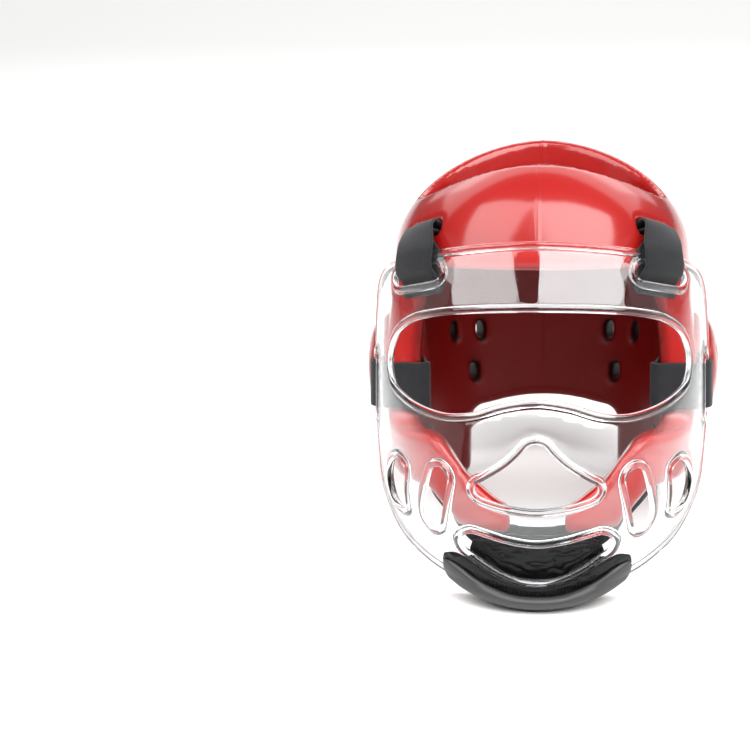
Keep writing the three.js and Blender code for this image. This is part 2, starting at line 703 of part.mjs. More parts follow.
function faceShield() {
  const { lowZ, highZ, endTurn, columns, rows } = SHIELD_SHEET;
  const turns = Array.from({ length: columns + 1 }, (_, k) =>
    radians(THREE.MathUtils.lerp(-endTurn, endTurn, k / columns)),
  );
  const rings = Array.from({ length: rows + 1 }, (_, r) => {
    const z = THREE.MathUtils.lerp(lowZ, highZ, r / rows);
    const outside = turns.map((turn) => offSurface(shieldSurface, turn, z, SHIELD_WALL / 2));
    const inside = turns.map((turn) => offSurface(shieldSurface, turn, z, -SHIELD_WALL / 2));
    return [...outside, ...inside.reverse()];
  });
  const sheet = loft(rings, rings[0].map((p) => new THREE.Vector2(p.x, p.y)));

  const outline = mirroredLoop(OUTLINE);
  const openings = [EYE_OPENING, MOUTH_OPENING, CHIN_SLOT].map(mirroredLoop);
  for (const { side } of SIDES) {
    openings.push(sideLoop(OUTER_VENT, side));
    for (const slot of [INNER_VENT, TOP_SLOT, SIDE_SLOT]) openings.push(slotLoop(slot, side));
  }
  let shield = sheet.intersect(insideOf(outline, OUTLINE_CUT));
  for (const curve of openings) shield = shield.subtract(insideOf(curve, OPENING_CUT));
  for (const curve of [outline, ...openings]) shield = shield.add(bead(curve));
  return shield;
}

// Band along a curve. Its direction across is a function of the place, and its edges are drawn back by a bow.
function band(curve, steps, acrossAt, width, closed, bow = null) {
  const flat = [[-1, -1], [1, -1], [1, 1], [-1, 1]];
  const bowed = [[-1, -1], [0, -1], [1, -1], [1, 1], [0, 1], [-1, 1]];
  const section = bow ? bowed : flat;
  const rings = Array.from({ length: closed ? steps : steps + 1 }, (_, i) => {
    const middle = curve.getPointAt(i / steps);
    const across = acrossAt(middle);
    const thick = curve.getTangentAt(i / steps).cross(across).normalize();
    return section.map(([a, b]) => {
      const p = middle.clone();
      if (bow) p.addScaledVector(bow, -Math.abs(a));
      return p.addScaledVector(across, (a * width) / 2).addScaledVector(thick, (b * STRAP_THICK) / 2);
    });
  });
  return loft(rings, closed ? null : section.map(([a, b]) => new THREE.Vector2(a, b)));
}

// Loop from the pocket in the forehead, over the shield's top bead, through its slot and back behind it.
function topStrap(side) {
  const { mouth, out, across, up, slotAcross } = topStrapFrame(side);
  const turn = side * radians(TOP_SLOT.turn);
  const nearMouth = ({ off, rise }) => mouth.clone().addScaledVector(out, off).addScaledVector(up, rise);
  const route = [
    ...TOP_STRAP_LEAVING.map(nearMouth),
    ...TOP_STRAP_ROUND_BEAD.map(({ z, off }) => offSurface(shieldSurface, turn, z, off)),
    ...TOP_STRAP_RETURNING.map(nearMouth),
  ];
  const slot = shieldSurface(turn, TOP_SLOT.z);
  const acrossAt = ({ y }) => {
    const turned = THREE.MathUtils.smoothstep(y, slot.y, mouth.y - STRAP_THICK);
    return slotAcross.clone().lerp(across, turned).normalize();
  };
  const bow = outwardAt(shieldSurface, turn, TOP_SLOT.z).multiplyScalar(TOP_STRAP.bow);
  const curve = new THREE.CatmullRomCurve3(route, true, 'centripetal');
  return band(curve, TOP_STRAP.steps, acrossAt, TOP_STRAP.width, true, bow);
}

// Loop round the front of the shell's side wall and the side bar of the shield.
function sideStrap(side) {
  const route = SIDE_STRAP_PLAN.map(({ x, y }) => new THREE.Vector3(side * x, y, SIDE_SLOT.z));
  const curve = new THREE.CatmullRomCurve3(route, true, 'centripetal');
  return band(curve, SIDE_STRAP.steps, () => Z, SIDE_STRAP.width, true);
}

// Strap from cheek to cheek along the inner faces of the jaw flaps.
function chinStrap() {
  const place = (turn, z) => offSurface(cavitySurface, radians(turn), z, CHIN_STRAP.off);
  const right = CHIN_STRAP_ROUTE.map(({ turn, z }) => place(turn, z));
  const left = CHIN_STRAP_ROUTE.slice(1).reverse().map(({ turn, z }) => place(-turn, z));
  const curve = new THREE.CatmullRomCurve3([...left, ...right], false, 'centripetal');
  return band(curve, CHIN_STRAP.steps, () => Z, CHIN_STRAP.width, false);
}

// Elastic over the rear window, lying on the shell.
function rearStrap() {
  const { halfTurn, lowZ, middleZ, highZ, thick, off, steps } = REAR_STRAP;
  const levels = [lowZ, middleZ, highZ];
  const rings = Array.from({ length: steps + 1 }, (_, i) => {
    const turn = Math.PI + radians(THREE.MathUtils.lerp(-halfTurn, halfTurn, i / steps));
    const under = levels.map((z) => offSurface(shellSurface, turn, z, off));
    const over = levels.map((z) => offSurface(shellSurface, turn, z, off + thick));
    return [...under, ...over.reverse()];
  });
  const outline = [...levels.map((z) => [0, z]), ...levels.map((z) => [thick, z]).reverse()];
  return loft(rings, outline.map(([x, y]) => new THREE.Vector2(x, y)));
}

// Height of the shield's lower edge at a turn in degrees.
function lowerEdge(turn) {
  return columnAt([...OUTLINE].reverse(), 'turn', 'z', Math.abs(turn));
}

// Pad behind the shield's chin slot, higher and thinner towards its ends.
function chinCushion() {
  const { halfTurn, drop, topZ, endRise, front, thick, endThick } = CUSHION;
  const steps = 16;
  const rings = Array.from({ length: steps + 1 }, (_, i) => {
    const share = (2 * i) / steps - 1;
    const turn = halfTurn * share;
    const depth = THREE.MathUtils.lerp(thick, endThick, share * share);
    const low = lowerEdge(turn) - drop;
    const high = topZ + endRise * share * share;
    return CUSHION_SECTION.map(({ deep, up }) =>
      offSurface(shieldSurface, radians(turn), THREE.MathUtils.lerp(low, high, up), front - deep * depth),
    );
  });
  return loft(rings, CUSHION_SECTION.map(({ deep, up }) => new THREE.Vector2(deep, up)));
}

// Lip that cups the shield's lower edge, with a band up its front, thinner towards its ends.
function chinBumper() {
  const { halfTurn, steps, grooveWall, endShare, underEdge } = BUMPER;
  const rows = Array.from({ length: steps + 1 }, (_, i) => {
    const share = (2 * i) / steps - 1;
    const turn = halfTurn * share;
    const edgeZ = lowerEdge(turn);
    const level = (name) => columnAt(BUMPER_LEVELS, 'turn', name, Math.abs(turn));
    const floor = edgeZ - underEdge;
    const levels = { top: level('top'), rim: level('rim'), floor, bottom: level('bottom') };
    const shrink = THREE.MathUtils.lerp(1, endShare, share ** 4);
    const section = BUMPER_SECTION.map(({ off, from, to, share: way }) => {
      const past = Math.max(Math.abs(off) - grooveWall, 0) * shrink;
      const distance = Math.sign(off) * (Math.min(Math.abs(off), grooveWall) + past);
      return new THREE.Vector2(distance, THREE.MathUtils.lerp(levels[from], levels[to], way));
    });
    return { turn: radians(turn), edgeZ, section };
  });
  const rings = rows.map(({ turn, edgeZ, section }) => {
    const out = outwardAt(shieldSurface, turn, edgeZ).setZ(0).normalize();
    return section.map(({ x, y }) => shieldSurface(turn, Math.max(y, edgeZ)).setZ(y).addScaledVector(out, x));
  });
  return loft(rings, rows[0].section).subtract(underRestPlane());
}

const headgear = new THREE.Group();

function addPiece(name, solid, look) {
  const mesh = new THREE.Mesh(geometryOf(solid), new THREE.MeshStandardMaterial(look));
  mesh.name = name;
  headgear.add(mesh);
}

addPiece('foam_shell', foamShell(), LOOKS.foam);
addPiece('face_shield', faceShield(), LOOKS.clear);
for (const { name, side } of SIDES) {
  addPiece(`strap_top_${name}`, topStrap(side), LOOKS.elastic);
  addPiece(`strap_side_${name}`, sideStrap(side), LOOKS.elastic);
}
addPiece('chin_cushion', chinCushion(), LOOKS.leather);
addPiece('chin_bumper', chinBumper(), LOOKS.lip);
addPiece('chin_strap', chinStrap(), LOOKS.elastic);
addPiece('rear_strap', rearStrap(), LOOKS.elastic);

// Put down: leaning back on chin bumper and rear lobes, over the middle of the surface it stands on.
headgear.rotation.x = -REST_TILT;
const box = new THREE.Box3().setFromObject(headgear, true);
const middle = box.getCenter(new THREE.Vector3());
headgear.position.set(-middle.x, -middle.y, -box.min.z);

export default headgear;
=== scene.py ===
import math

import bmesh
import bpy
import numpy as np
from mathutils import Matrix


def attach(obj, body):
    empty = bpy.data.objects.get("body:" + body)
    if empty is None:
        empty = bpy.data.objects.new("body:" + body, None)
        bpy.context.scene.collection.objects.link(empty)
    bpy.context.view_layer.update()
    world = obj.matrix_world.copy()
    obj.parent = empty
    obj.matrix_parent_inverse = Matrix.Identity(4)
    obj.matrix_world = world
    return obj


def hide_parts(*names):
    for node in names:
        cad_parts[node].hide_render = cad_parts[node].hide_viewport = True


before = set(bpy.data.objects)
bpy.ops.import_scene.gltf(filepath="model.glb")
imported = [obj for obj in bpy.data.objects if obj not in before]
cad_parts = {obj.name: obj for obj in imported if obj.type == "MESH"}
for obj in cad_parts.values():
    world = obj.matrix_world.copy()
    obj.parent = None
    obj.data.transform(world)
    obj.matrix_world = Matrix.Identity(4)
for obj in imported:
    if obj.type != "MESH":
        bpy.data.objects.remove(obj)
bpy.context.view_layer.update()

import openvdb
from bpy.props import FloatProperty, FloatVectorProperty, PointerProperty
from bpy.types import NodeSocket, Operator, Panel, PropertyGroup
from mathutils import Matrix, Quaternion, Vector, geometry, noise

bl_info = {
    "name": "Full face boxing headgear",
    "version": (1, 0, 0),
    "blender": (4, 5, 0),
    "location": "3D View > Sidebar > Headgear",
    "description": "Dresses a dipped foam head guard with its clear face shield, straps and chin pad",
    "category": "Add Mesh",
}

# Sizes are millimetres in the worn frame: x to the viewer's right, y to the back of the head and z up from
# the chin.
MM = 0.001
TINY = 1e-6
SIDES = {"left": -1, "right": 1}
BODY = "root"

# How the headgear leans when it is put down on its chin lip and rear lobes, and where that puts it.
REST_TILT = math.atan2(48.0, 215.0)
REST_CHIN = {"y": -135.0, "z": 3.5}
REST_SHIFT = np.array([0.0, -9.287, -32.831])

# Foam shell and its hollow. Columns: z, half width, front, middle, back, power of the rounded outline.
SHELL_SECTIONS = np.array([
    (36, 93, -130, 0, 86, 2.4),
    (60, 97, -131, 0, 93, 2.5),
    (90, 101, -131, 0, 102, 2.8),
    (120, 103, -129, 0, 110, 3.0),
    (150, 102.5, -127, 0, 116, 3.0),
    (180, 101, -125, 0, 119, 2.7),
    (212, 98, -122, 0, 119, 2.38),
])
HOLLOW_SECTIONS = np.array([
    (20, 77, -109, 0, 66, 2.5),
    (60, 78, -111, 0, 74, 2.6),
    (90, 80, -110, 0, 82, 2.9),
    (150, 81, -106, 0, 96, 3.0),
    (180, 79, -104, 0, 99, 2.8),
    (205, 77, -102, 0, 99, 2.5),
])
SHELL_DOME = 287
HOLLOW_DOME = 267
APEX_Y = 28
DOME_CLOSING = {"half width": 1.1, "front": 0.53, "back": 0.75}
DOME_SQUARE = 2.2

# Openings of the shell. Columns of the vents: x, y and z of the middle of a vent's inner mouth.
CROWN = {"half width": 77, "half length": 58, "y": -20, "from z": 215}
BROW = {"z": 210, "temple y": -62, "cheek z": 106, "corner": 14, "cheek corner": 8, "front": -240}
NAPE = {"half width": 53, "shoulder": 98, "top": 109, "corner": 14, "from y": 30}
REAR_WINDOW = {"half width": 40, "half height": 21, "z": 229, "from y": 50}
EAR = {"x": 104, "y": 6, "z": 137, "bulge": (15, 37, 35), "pocket": (17, 30, 32), "pocket x": 79}
EAR_HOLE = {"width": 12, "height": 28, "from x": 59}
VENT = {"width": 6, "height": 14, "reach": 40}
VENTS = [(46, 92, 150), (64, 78, 150), (50, 84, 121)]
# Edges of the jaw flaps, by x and z, and of the hem, by y and z.
CHIN_GAP = 17
FLAP_CUT_TOP = 140
FLAP_TOP = [
    (110, 113), (74, 113), (66, 110), (55, 97), (45, 83), (35, 74), (25, 66), (CHIN_GAP, 62),
    (CHIN_GAP, 20),
]
FLAP_BOTTOM = [(130, 70), (70, 72), (61, 62), (50, 49), (38, 45), (0, 45)]
HEM = [(-60, 72), (-30, 69), (10, 62), (45, 54), (75, 49), (140, 47)]

# Shield. Columns: z, half width, front, edge.
SHIELD_SECTIONS = np.array([
    (0, 82, -136, -75),
    (14, 83, -144, -74),
    (22, 84.5, -149, -71),
    (31, 86.5, -153.5, -68),
    (40, 90.5, -157, -64),
    (53, 96, -161, -58),
    (66, 101, -163, -52),
    (79, 103.7, -164, -46),
    (110, 106.5, -162, -40),
    (150, 107.5, -151, -36),
    (186, 105.5, -138, -38),
    (205, 103, -130.5, -41),
    (227, 99.5, -124, -46),
    (240, 97, -119.6, -48),
])
# Middle lines of the shield's beads, right half: turn from the front in degrees, and z.
OUTLINE = [
    (0, 226.5), (20, 224.5), (38, 220.4), (54, 215.6), (67, 210), (77, 203), (85, 191), (89, 174),
    (90.5, 148), (90, 112), (88.5, 88), (85, 68), (78, 53), (68, 41.5), (57, 33.6), (44, 26), (28, 19.4),
    (12, 16), (0, 15.4),
]
EYE_OPENING = [
    (0, 188.5), (23, 187), (37, 184), (49, 178.5), (58, 168), (61.7, 152), (59.5, 138), (51, 130),
    (39, 124), (30, 122.3), (21, 124.2), (11, 130), (0, 132.8),
]
MOUTH_OPENING = [
    (0, 111), (3.3, 109.3), (6.4, 103.4), (10.6, 96.4), (18.5, 87.2), (21.7, 84), (22.5, 79.5),
    (20.6, 74.2), (15.5, 70.9), (8.5, 68.4), (0, 67),
]
CHIN_SLOT = [
    (0, 46.4), (10.5, 48.6), (19, 52), (25.5, 53.6), (31, 48), (30.4, 41), (25, 34.6), (17.5, 27),
    (8.5, 21.2), (0, 19.9),
]
OUTER_VENT = [
    (51.2, 87), (53.5, 91), (57.5, 93), (61.5, 90.5), (64.5, 85.5), (67, 78), (67.6, 69), (66, 60.5),
    (60.5, 57), (55, 59.5), (52.8, 72),
]
# Straight slots with round ends, by their middle, length, width and lean from upright on the shield.
INNER_VENT = {"turn": 38, "z": 71.8, "length": 45.5, "width": 19.5, "lean": 23}
TOP_SLOT = {"turn": 48.5, "z": 206, "length": 46, "width": 15, "lean": 80}
SIDE_SLOT = {"turn": 80, "z": 131, "length": 46, "width": 17.5, "lean": 8}
# Distance between points along the beads, and points round the end of a straight slot.
BEAD_STEP = 2.0
SLOT_END_POINTS = 9
# Profile of the sheet square to an edge: distance from the bead's middle and half thickness, in bead radii.
BEAD_PROFILE = [
    (-1.0, 0.0), (-0.92, 0.39), (-0.71, 0.71), (-0.38, 0.925), (0.0, 1.0), (0.38, 0.925), (0.68, 0.74),
    (0.92, 0.56), (1.2, 0.45), (1.6, 0.42),
]

# Straps: the pitches of their weave, the points across their flat sides and the angles round their edges.
WEAVE = {"rib": 1.2, "thread": 0.9}
STRAP_FLAT_POINTS = 15
STRAP_EDGE_ANGLES = (60, 30, 0, -30, -60)
TOP_STRAP = {"width": 33, "mouth turn": 51, "mouth z": 233, "bow": 1.4}
POCKET = {"half width": 18, "depth": 14.6, "half height": 4.9}
# Route of a top strap: distance out of its mouth and rise, and round the bead z and distance off the shield.
TOP_STRAP_LEAVING = [(-10, 1.8), (-5, 2.6), (1.5, 3)]
TOP_STRAP_ROUND_BEAD = [
    (221, 5), (214, 4.8), (208.8, 3.6), (205.6, 0), (202, -3.7), (197.5, -5.3), (195, -7.2),
    (198.5, -8.4), (204, -5.8), (209, -4.7), (216.8, -4.7),
]
TOP_STRAP_RETURNING = [(1.7, -8), (1.6, -3.9), (-1.5, -3), (-6, -2.6), (-10, -1.8)]
SIDE_STRAP_WIDTH = 30
SIDE_STRAP_SLOT = {"from x": 65, "y": -26, "length": 8, "height": 34}
# Route of a side strap seen from above, by x and y.
SIDE_STRAP_PLAN = [
    (110.6, -50), (111.4, -38), (110.8, -31.5), (108.6, -27.4), (104, -26), (86, -26), (79, -27.4),
    (77.2, -33), (76.4, -40), (74.6, -54), (72.2, -61.7), (75.8, -64.2), (86, -63.6), (96, -63.7),
    (100.9, -63.3), (104.6, -59.6), (109, -55.2),
]
CHIN_STRAP = {"width": 20, "off": -2.8}
# Right half of the chin strap's route, by turn from the front in degrees and z.
CHIN_STRAP_ROUTE = [(0, 37), (24, 42), (38, 52), (48, 61), (62, 68), (80, 76), (96, 84)]
REAR_STRAP = {"half turn": 36, "middle z": 223, "half height": 14, "off": 2.0}

# Chin cushion. Columns of its section: share of its depth from the front, and share of its height.
CUSHION = {
    "half turn": 29, "drop": 4.6, "top z": 46.5, "end rise": 4, "front": -3.1, "thick": 15, "end thick": 8,
}
CUSHION_SECTION = [
    (0, 0.08), (0, 0.5), (0.05, 0.92), (0.4, 1), (0.85, 0.9), (1, 0.5), (0.85, 0.1), (0.4, 0),
]
# Chin lip.
BUMPER = {"half turn": 41, "groove wall": 3, "end share": 0.3, "under edge": 2.8}
# Levels of the chin lip. Columns: turn, top of the band in front of the shield, rim of the lip, underside.
BUMPER_LEVELS = [
    (0, 17.2, 10.8, 2.4), (10, 19.4, 12, 3.4), (19, 25.6, 16.6, 6.2), (26, 32.8, 22, 9.6),
    (32, 37.6, 28, 13.4), (37, 37, 31.5, 17.4), (41, 35, 32, 20.8),
]
# Section of the chin lip from its groove round the back and underside to the band: distance off the shield,
# and height by its share of the way between two levels.
BUMPER_GROOVE = [(2.5, "top", "rim", 0), (2.6, "floor", "bottom", 0), (-2.8, "floor", "bottom", 0)]
BUMPER_LIP = [
    (-2.8, "floor", "bottom", 0), (-13.5, "floor", "bottom", 0.02), (-16, "floor", "bottom", 0.41),
    (-13, "floor", "bottom", 0.85), (-7, "floor", "bottom", 1), (2, "floor", "bottom", 1),
    (6, "bottom", "rim", 0.17), (8.5, "bottom", "rim", 0.42), (9.2, "bottom", "rim", 0.66),
    (7.8, "bottom", "rim", 0.93), (5.4, "bottom", "rim", 1.04),
]
BUMPER_BAND = [
    (4.2, "rim", "top", 0.06), (4.6, "rim", "top", 0.3), (4.5, "rim", "top", 0.8),
    (3.6, "rim", "top", 1.03),
]

# The view: a point of the headgear, its place in a square picture, and the camera's place seen from it.
PICTURE = 750
VIEW_TARGET = np.array([0.0, -40.0, 150.0])
VIEW_PIXEL = (540.5, 352.0)
VIEW_FOCAL_PIXELS = 2121.0
VIEW_ELEVATION = math.radians(7.0)
VIEW_YAW = math.radians(1.3)
SENSOR = 36.0


def linear(hex_colour):
    """Linear red, green and blue of an sRGB hex colour."""
    shares = [int(hex_colour[k:k + 2], 16) / 255 for k in (1, 3, 5)]
    return tuple(c / 12.92 if c <= 0.04045 else ((c + 0.055) / 1.055) ** 2.4 for c in shares)


def shade(colour, share):
    """A colour with full alpha, darker or lighter by a share."""
    return (*[share * c for c in colour], 1)


class HeadgearSizes(PropertyGroup):
    """Sizes of the soft and clear parts."""

    foam_cell: FloatProperty(
        name="Foam cell", description="Mesh size of the foam shell",
        default=2.0 * MM, min=1.0 * MM, unit="LENGTH")
    foam_edge: FloatProperty(
        name="Foam edge", description="Radius of the shell's main edges", default=4.5 * MM, unit="LENGTH")
    crown_edge: FloatProperty(
        name="Crown edge", description="Radius of the crown's acute edge", default=2.5 * MM, unit="LENGTH")
    slot_edge: FloatProperty(
        name="Slot edge", description="Radius round vents and strap slots", default=1.6 * MM, unit="LENGTH")
    crease: FloatProperty(
        name="Crease", description="Depth of the fine crease where the mould parts",
        default=0.35 * MM, unit="LENGTH")
    bead: FloatProperty(
        name="Bead", description="Radius of the bead along the shield's edges",
        default=2.4 * MM, unit="LENGTH")
    sheet_cell: FloatProperty(
        name="Sheet cell", description="Mesh size of the shield's sheet", default=4.5 * MM, unit="LENGTH")
    strap_thickness: FloatProperty(
        name="Strap thickness", description="Thickness of the elastic", default=2.0 * MM, unit="LENGTH")
    slack: FloatProperty(
        name="Slack", description="Share by which the chin cushion's leather is too large for it",
        default=0.3, min=0.0, max=0.5, subtype="FACTOR")
    pucker: FloatProperty(
        name="Pucker", description="Depth of the creases at the ends of the chin cushion", default=2.6 * MM,
        unit="LENGTH")
    gather: FloatProperty(
        name="Gather", description="Depth of the gathers along the chin lip's band",
        default=0.8 * MM, unit="LENGTH")


class HeadgearColours(PropertyGroup):
    """Colours of the finishes."""

    foam: FloatVectorProperty(
        name="Foam", description="Dipped vinyl skin", subtype="COLOR", default=linear("#900F0B"))
    clear: FloatVectorProperty(
        name="Clear sheet", description="Tint of the shield", subtype="COLOR", default=linear("#F8FBFC"))
    elastic: FloatVectorProperty(
        name="Elastic", description="Woven elastic straps", subtype="COLOR", default=linear("#121316"))
    leather: FloatVectorProperty(
        name="Leather", description="Coated leather of the chin cushion",
        subtype="COLOR", default=linear("#0C0C0F"))
    lip: FloatVectorProperty(
        name="Lip", description="Soft lip under the chin", subtype="COLOR", default=linear("#303031"))
    floor: FloatVectorProperty(
        name="Floor", description="Studio floor", subtype="COLOR", default=linear("#F4F4F3"))


class HeadgearStudio(PropertyGroup):
    """Light and camera."""

    softbox_left: FloatProperty(
        name="Left softbox", description="Brightness of the softbox at the front left",
        default=5.0, min=0.0)
    softbox_right: FloatProperty(
        name="Right softbox", description="Brightness of the softbox at the front right",
        default=7.4, min=0.0)
    side_card: FloatProperty(
        name="Side cards", description="Brightness of the white cards at both sides", default=0.4, min=0.0)
    back_card: FloatProperty(
        name="Back card", description="Brightness of the low card behind", default=1.2, min=0.0)
    back_panel: FloatProperty(
        name="Back panel", description="Brightness of the panel over the floor behind",
        default=1.5, min=0.0)
    room: FloatProperty(name="Room", description="Brightness of the white room", default=0.1, min=0.0)
    distance: FloatProperty(
        name="Distance", description="Camera to the middle of the headgear", default=1.4, unit="LENGTH")


def stand(points):
    """Row frame points, in metres, of worn frame points as the headgear stands."""
    p = np.asarray(points, float)
    cosine, sine = math.cos(REST_TILT), math.sin(REST_TILT)
    y = p[..., 1] * cosine + p[..., 2] * sine
    z = p[..., 2] * cosine - p[..., 1] * sine
    return (np.stack([p[..., 0], y, z], -1) + REST_SHIFT) * MM


def unit(vectors):
    """Vectors of length one."""
    v = np.asarray(vectors, float)
    return v / np.linalg.norm(v, axis=-1, keepdims=True)


def eased(share):
    """A share from 0 to 1 that starts and ends slowly."""
    return share * share * (3 - 2 * share)


def rows_at(table, keys):
    """Rows of a table at other values of its first column, on a smooth curve through its rows."""
    own = table[:, 0]
    last = len(own) - 1
    index = np.arange(last + 1)
    low, high = np.maximum(index - 1, 0), np.minimum(index + 1, last)
    slope = (table[high] - table[low]) / (own[high] - own[low])[:, None]
    at = np.asarray(keys, float)
    i = np.clip(np.searchsorted(own, at) - 1, 0, last - 1)
    step = (own[i + 1] - own[i])[..., None]
    u = np.clip((at[..., None] - own[i][..., None]) / step, 0, 1)
    blend = eased(u)
    bend = slope[i] * u * (1 - u) ** 2 - slope[i + 1] * u * u * (1 - u)
    return table[i] * (1 - blend) + table[i + 1] * blend + bend * step


def smooth_curve(points, closed, per_span=12):
    """Dense points on a centripetal curve through points."""
    p = np.asarray(points, float)
    if closed:
        before, start, end, after = np.roll(p, 1, 0), p, np.roll(p, -1, 0), np.roll(p, -2, 0)
    else:
        longer = np.vstack([2 * p[0] - p[1], p, 2 * p[-1] - p[-2]])
        before, start, end, after = longer[:-3], longer[1:-2], longer[2:-1], longer[3:]
    spans = (before, start), (start, end), (end, after)
    gap = [np.sqrt(np.linalg.norm(b - a, axis=1, keepdims=True)) for a, b in spans]
    leave = ((start - before) / gap[0] - (end - before) / (gap[0] + gap[1]) + (end - start) / gap[1]) * gap[1]
    arrive = ((end - start) / gap[1] - (after - start) / (gap[1] + gap[2]) + (after - end) / gap[2]) * gap[1]
    u = (np.arange(per_span) / per_span)[None, :, None]
    curve = (start[:, None] * (2 * u ** 3 - 3 * u ** 2 + 1) + leave[:, None] * (u ** 3 - 2 * u ** 2 + u)
             + end[:, None] * (3 * u ** 2 - 2 * u ** 3) + arrive[:, None] * (u ** 3 - u ** 2))
    curve = curve.reshape(-1, p.shape[1])
    return curve if closed else np.vstack([curve, p[-1]])


def evenly(curve, closed, count):
    """Points at even distances along a dense curve."""
    line = np.vstack([curve, curve[:1]]) if closed else curve
    run = np.concatenate([[0], np.cumsum(np.linalg.norm(np.diff(line, axis=0), axis=1))])
    at = np.linspace(0, run[-1], count, endpoint=not closed)
    return np.stack([np.interp(at, run, line[:, k]) for k in range(line.shape[1])], -1)


def tangents(points, closed):
    """Unit directions along a row of points."""
    if closed:
        return unit(np.roll(points, -1, 0) - np.roll(points, 1, 0))
    return unit(np.gradient(points, axis=0))


def body_surface(sections, dome_top):
    """Surface of the shell or its hollow as a function of turn from the front, in radians, and z."""
    base = sections[-1, 0]

    def surface(place):
        turn, z = place[..., 0], place[..., 1]
        rows = rows_at(sections, np.minimum(z, base))
        _, half_width, front, middle, back, power = np.moveaxis(rows, -1, 0)
        rise = np.clip((z - base) / (dome_top - base), 0, 1)
        closing = np.sqrt(1 - rise ** 2)
        half_width = half_width * closing ** DOME_CLOSING["half width"]
        dome_front = APEX_Y + (front - APEX_Y) * closing ** DOME_CLOSING["front"]
        dome_back = APEX_Y + (back - APEX_Y) * closing ** DOME_CLOSING["back"]
        middle = middle + (APEX_Y - middle) * rise ** 2
        power = 2 / (power + (DOME_SQUARE - power) * rise)
        across, along = np.sin(turn), np.cos(turn)
        front, back = np.where(rise == 0, front, dome_front), np.where(rise == 0, back, dome_back)
        end = np.where(along > 0, front, back)
        x = np.sign(across) * half_width * np.abs(across) ** power
        return np.stack([x, middle + (end - middle) * np.abs(along) ** power, z + 0 * turn], -1)

    return surface


def shield_surface(place):
    """Middle surface of the shield at turn, in radians, and z."""
    turn, z = place[..., 0], place[..., 1]
    _, half_width, front, edge = np.moveaxis(rows_at(SHIELD_SECTIONS, z), -1, 0)
    return np.stack([half_width * np.sin(turn), edge - (edge - front) * np.cos(turn), z], -1)


def shield_place(points):
    """Turn, in radians, and z of points on the shield."""
    x, y, z = np.moveaxis(points, -1, 0)
    _, half_width, front, edge = np.moveaxis(rows_at(SHIELD_SECTIONS, z), -1, 0)
    return np.stack([np.arctan2(x / half_width, (edge - y) / (edge - front)), z], -1)


def slopes(surface, place):
    """How a surface runs with turn and with z."""
    turn_step, z_step = np.array([0.01, 0.0]), np.array([0.0, 1.0])
    by_turn = (surface(place + turn_step) - surface(place - turn_step)) / (2 * turn_step[0])
    by_z = (surface(place + z_step) - surface(place - z_step)) / (2 * z_step[1])
    return by_turn, by_z


def outward(surface, place):
    """Outward directions of a surface."""
    return unit(np.cross(*slopes(surface, place)))


def off_surface(surface, place, distance):
    """Points at a distance off a surface."""
    return surface(place) + outward(surface, place) * np.asarray(distance, float)[..., None]


def places(turns, heights):
    """Turn in radians and z, from turns in degrees."""
    return np.stack(np.broadcast_arrays(np.radians(turns), np.asarray(heights, float)), -1)


shell_surface = body_surface(SHELL_SECTIONS, SHELL_DOME)
hollow_surface = body_surface(HOLLOW_SECTIONS, HOLLOW_DOME)


def add_node(tree, kind, settings=None, inputs=None):
    """Adds a node with its settings. An input is a value, or the output of another node to link it to."""
    node = tree.nodes.new(kind)
    for name, value in (settings or {}).items():
        setattr(node, name, value)
    for name, value in (inputs or {}).items():
        if isinstance(value, NodeSocket):
            tree.links.new(value, node.inputs[name])
        else:
            node.inputs[name].default_value = value
    return node


def start_material(name):
    """An empty node material and its tree."""
    material = bpy.data.materials.new(name)
    material.use_nodes = True
    material.node_tree.nodes.clear()
    return material, material.node_tree


def finish_material(tree, shader):
    """Puts a shader on the surface."""
    add_node(tree, "ShaderNodeOutputMaterial", inputs={"Surface": shader.outputs["BSDF"]})


def per_metre(millimetres):
    """Texture scale that gives a pattern of a size."""
    return 1 / (millimetres * MM)


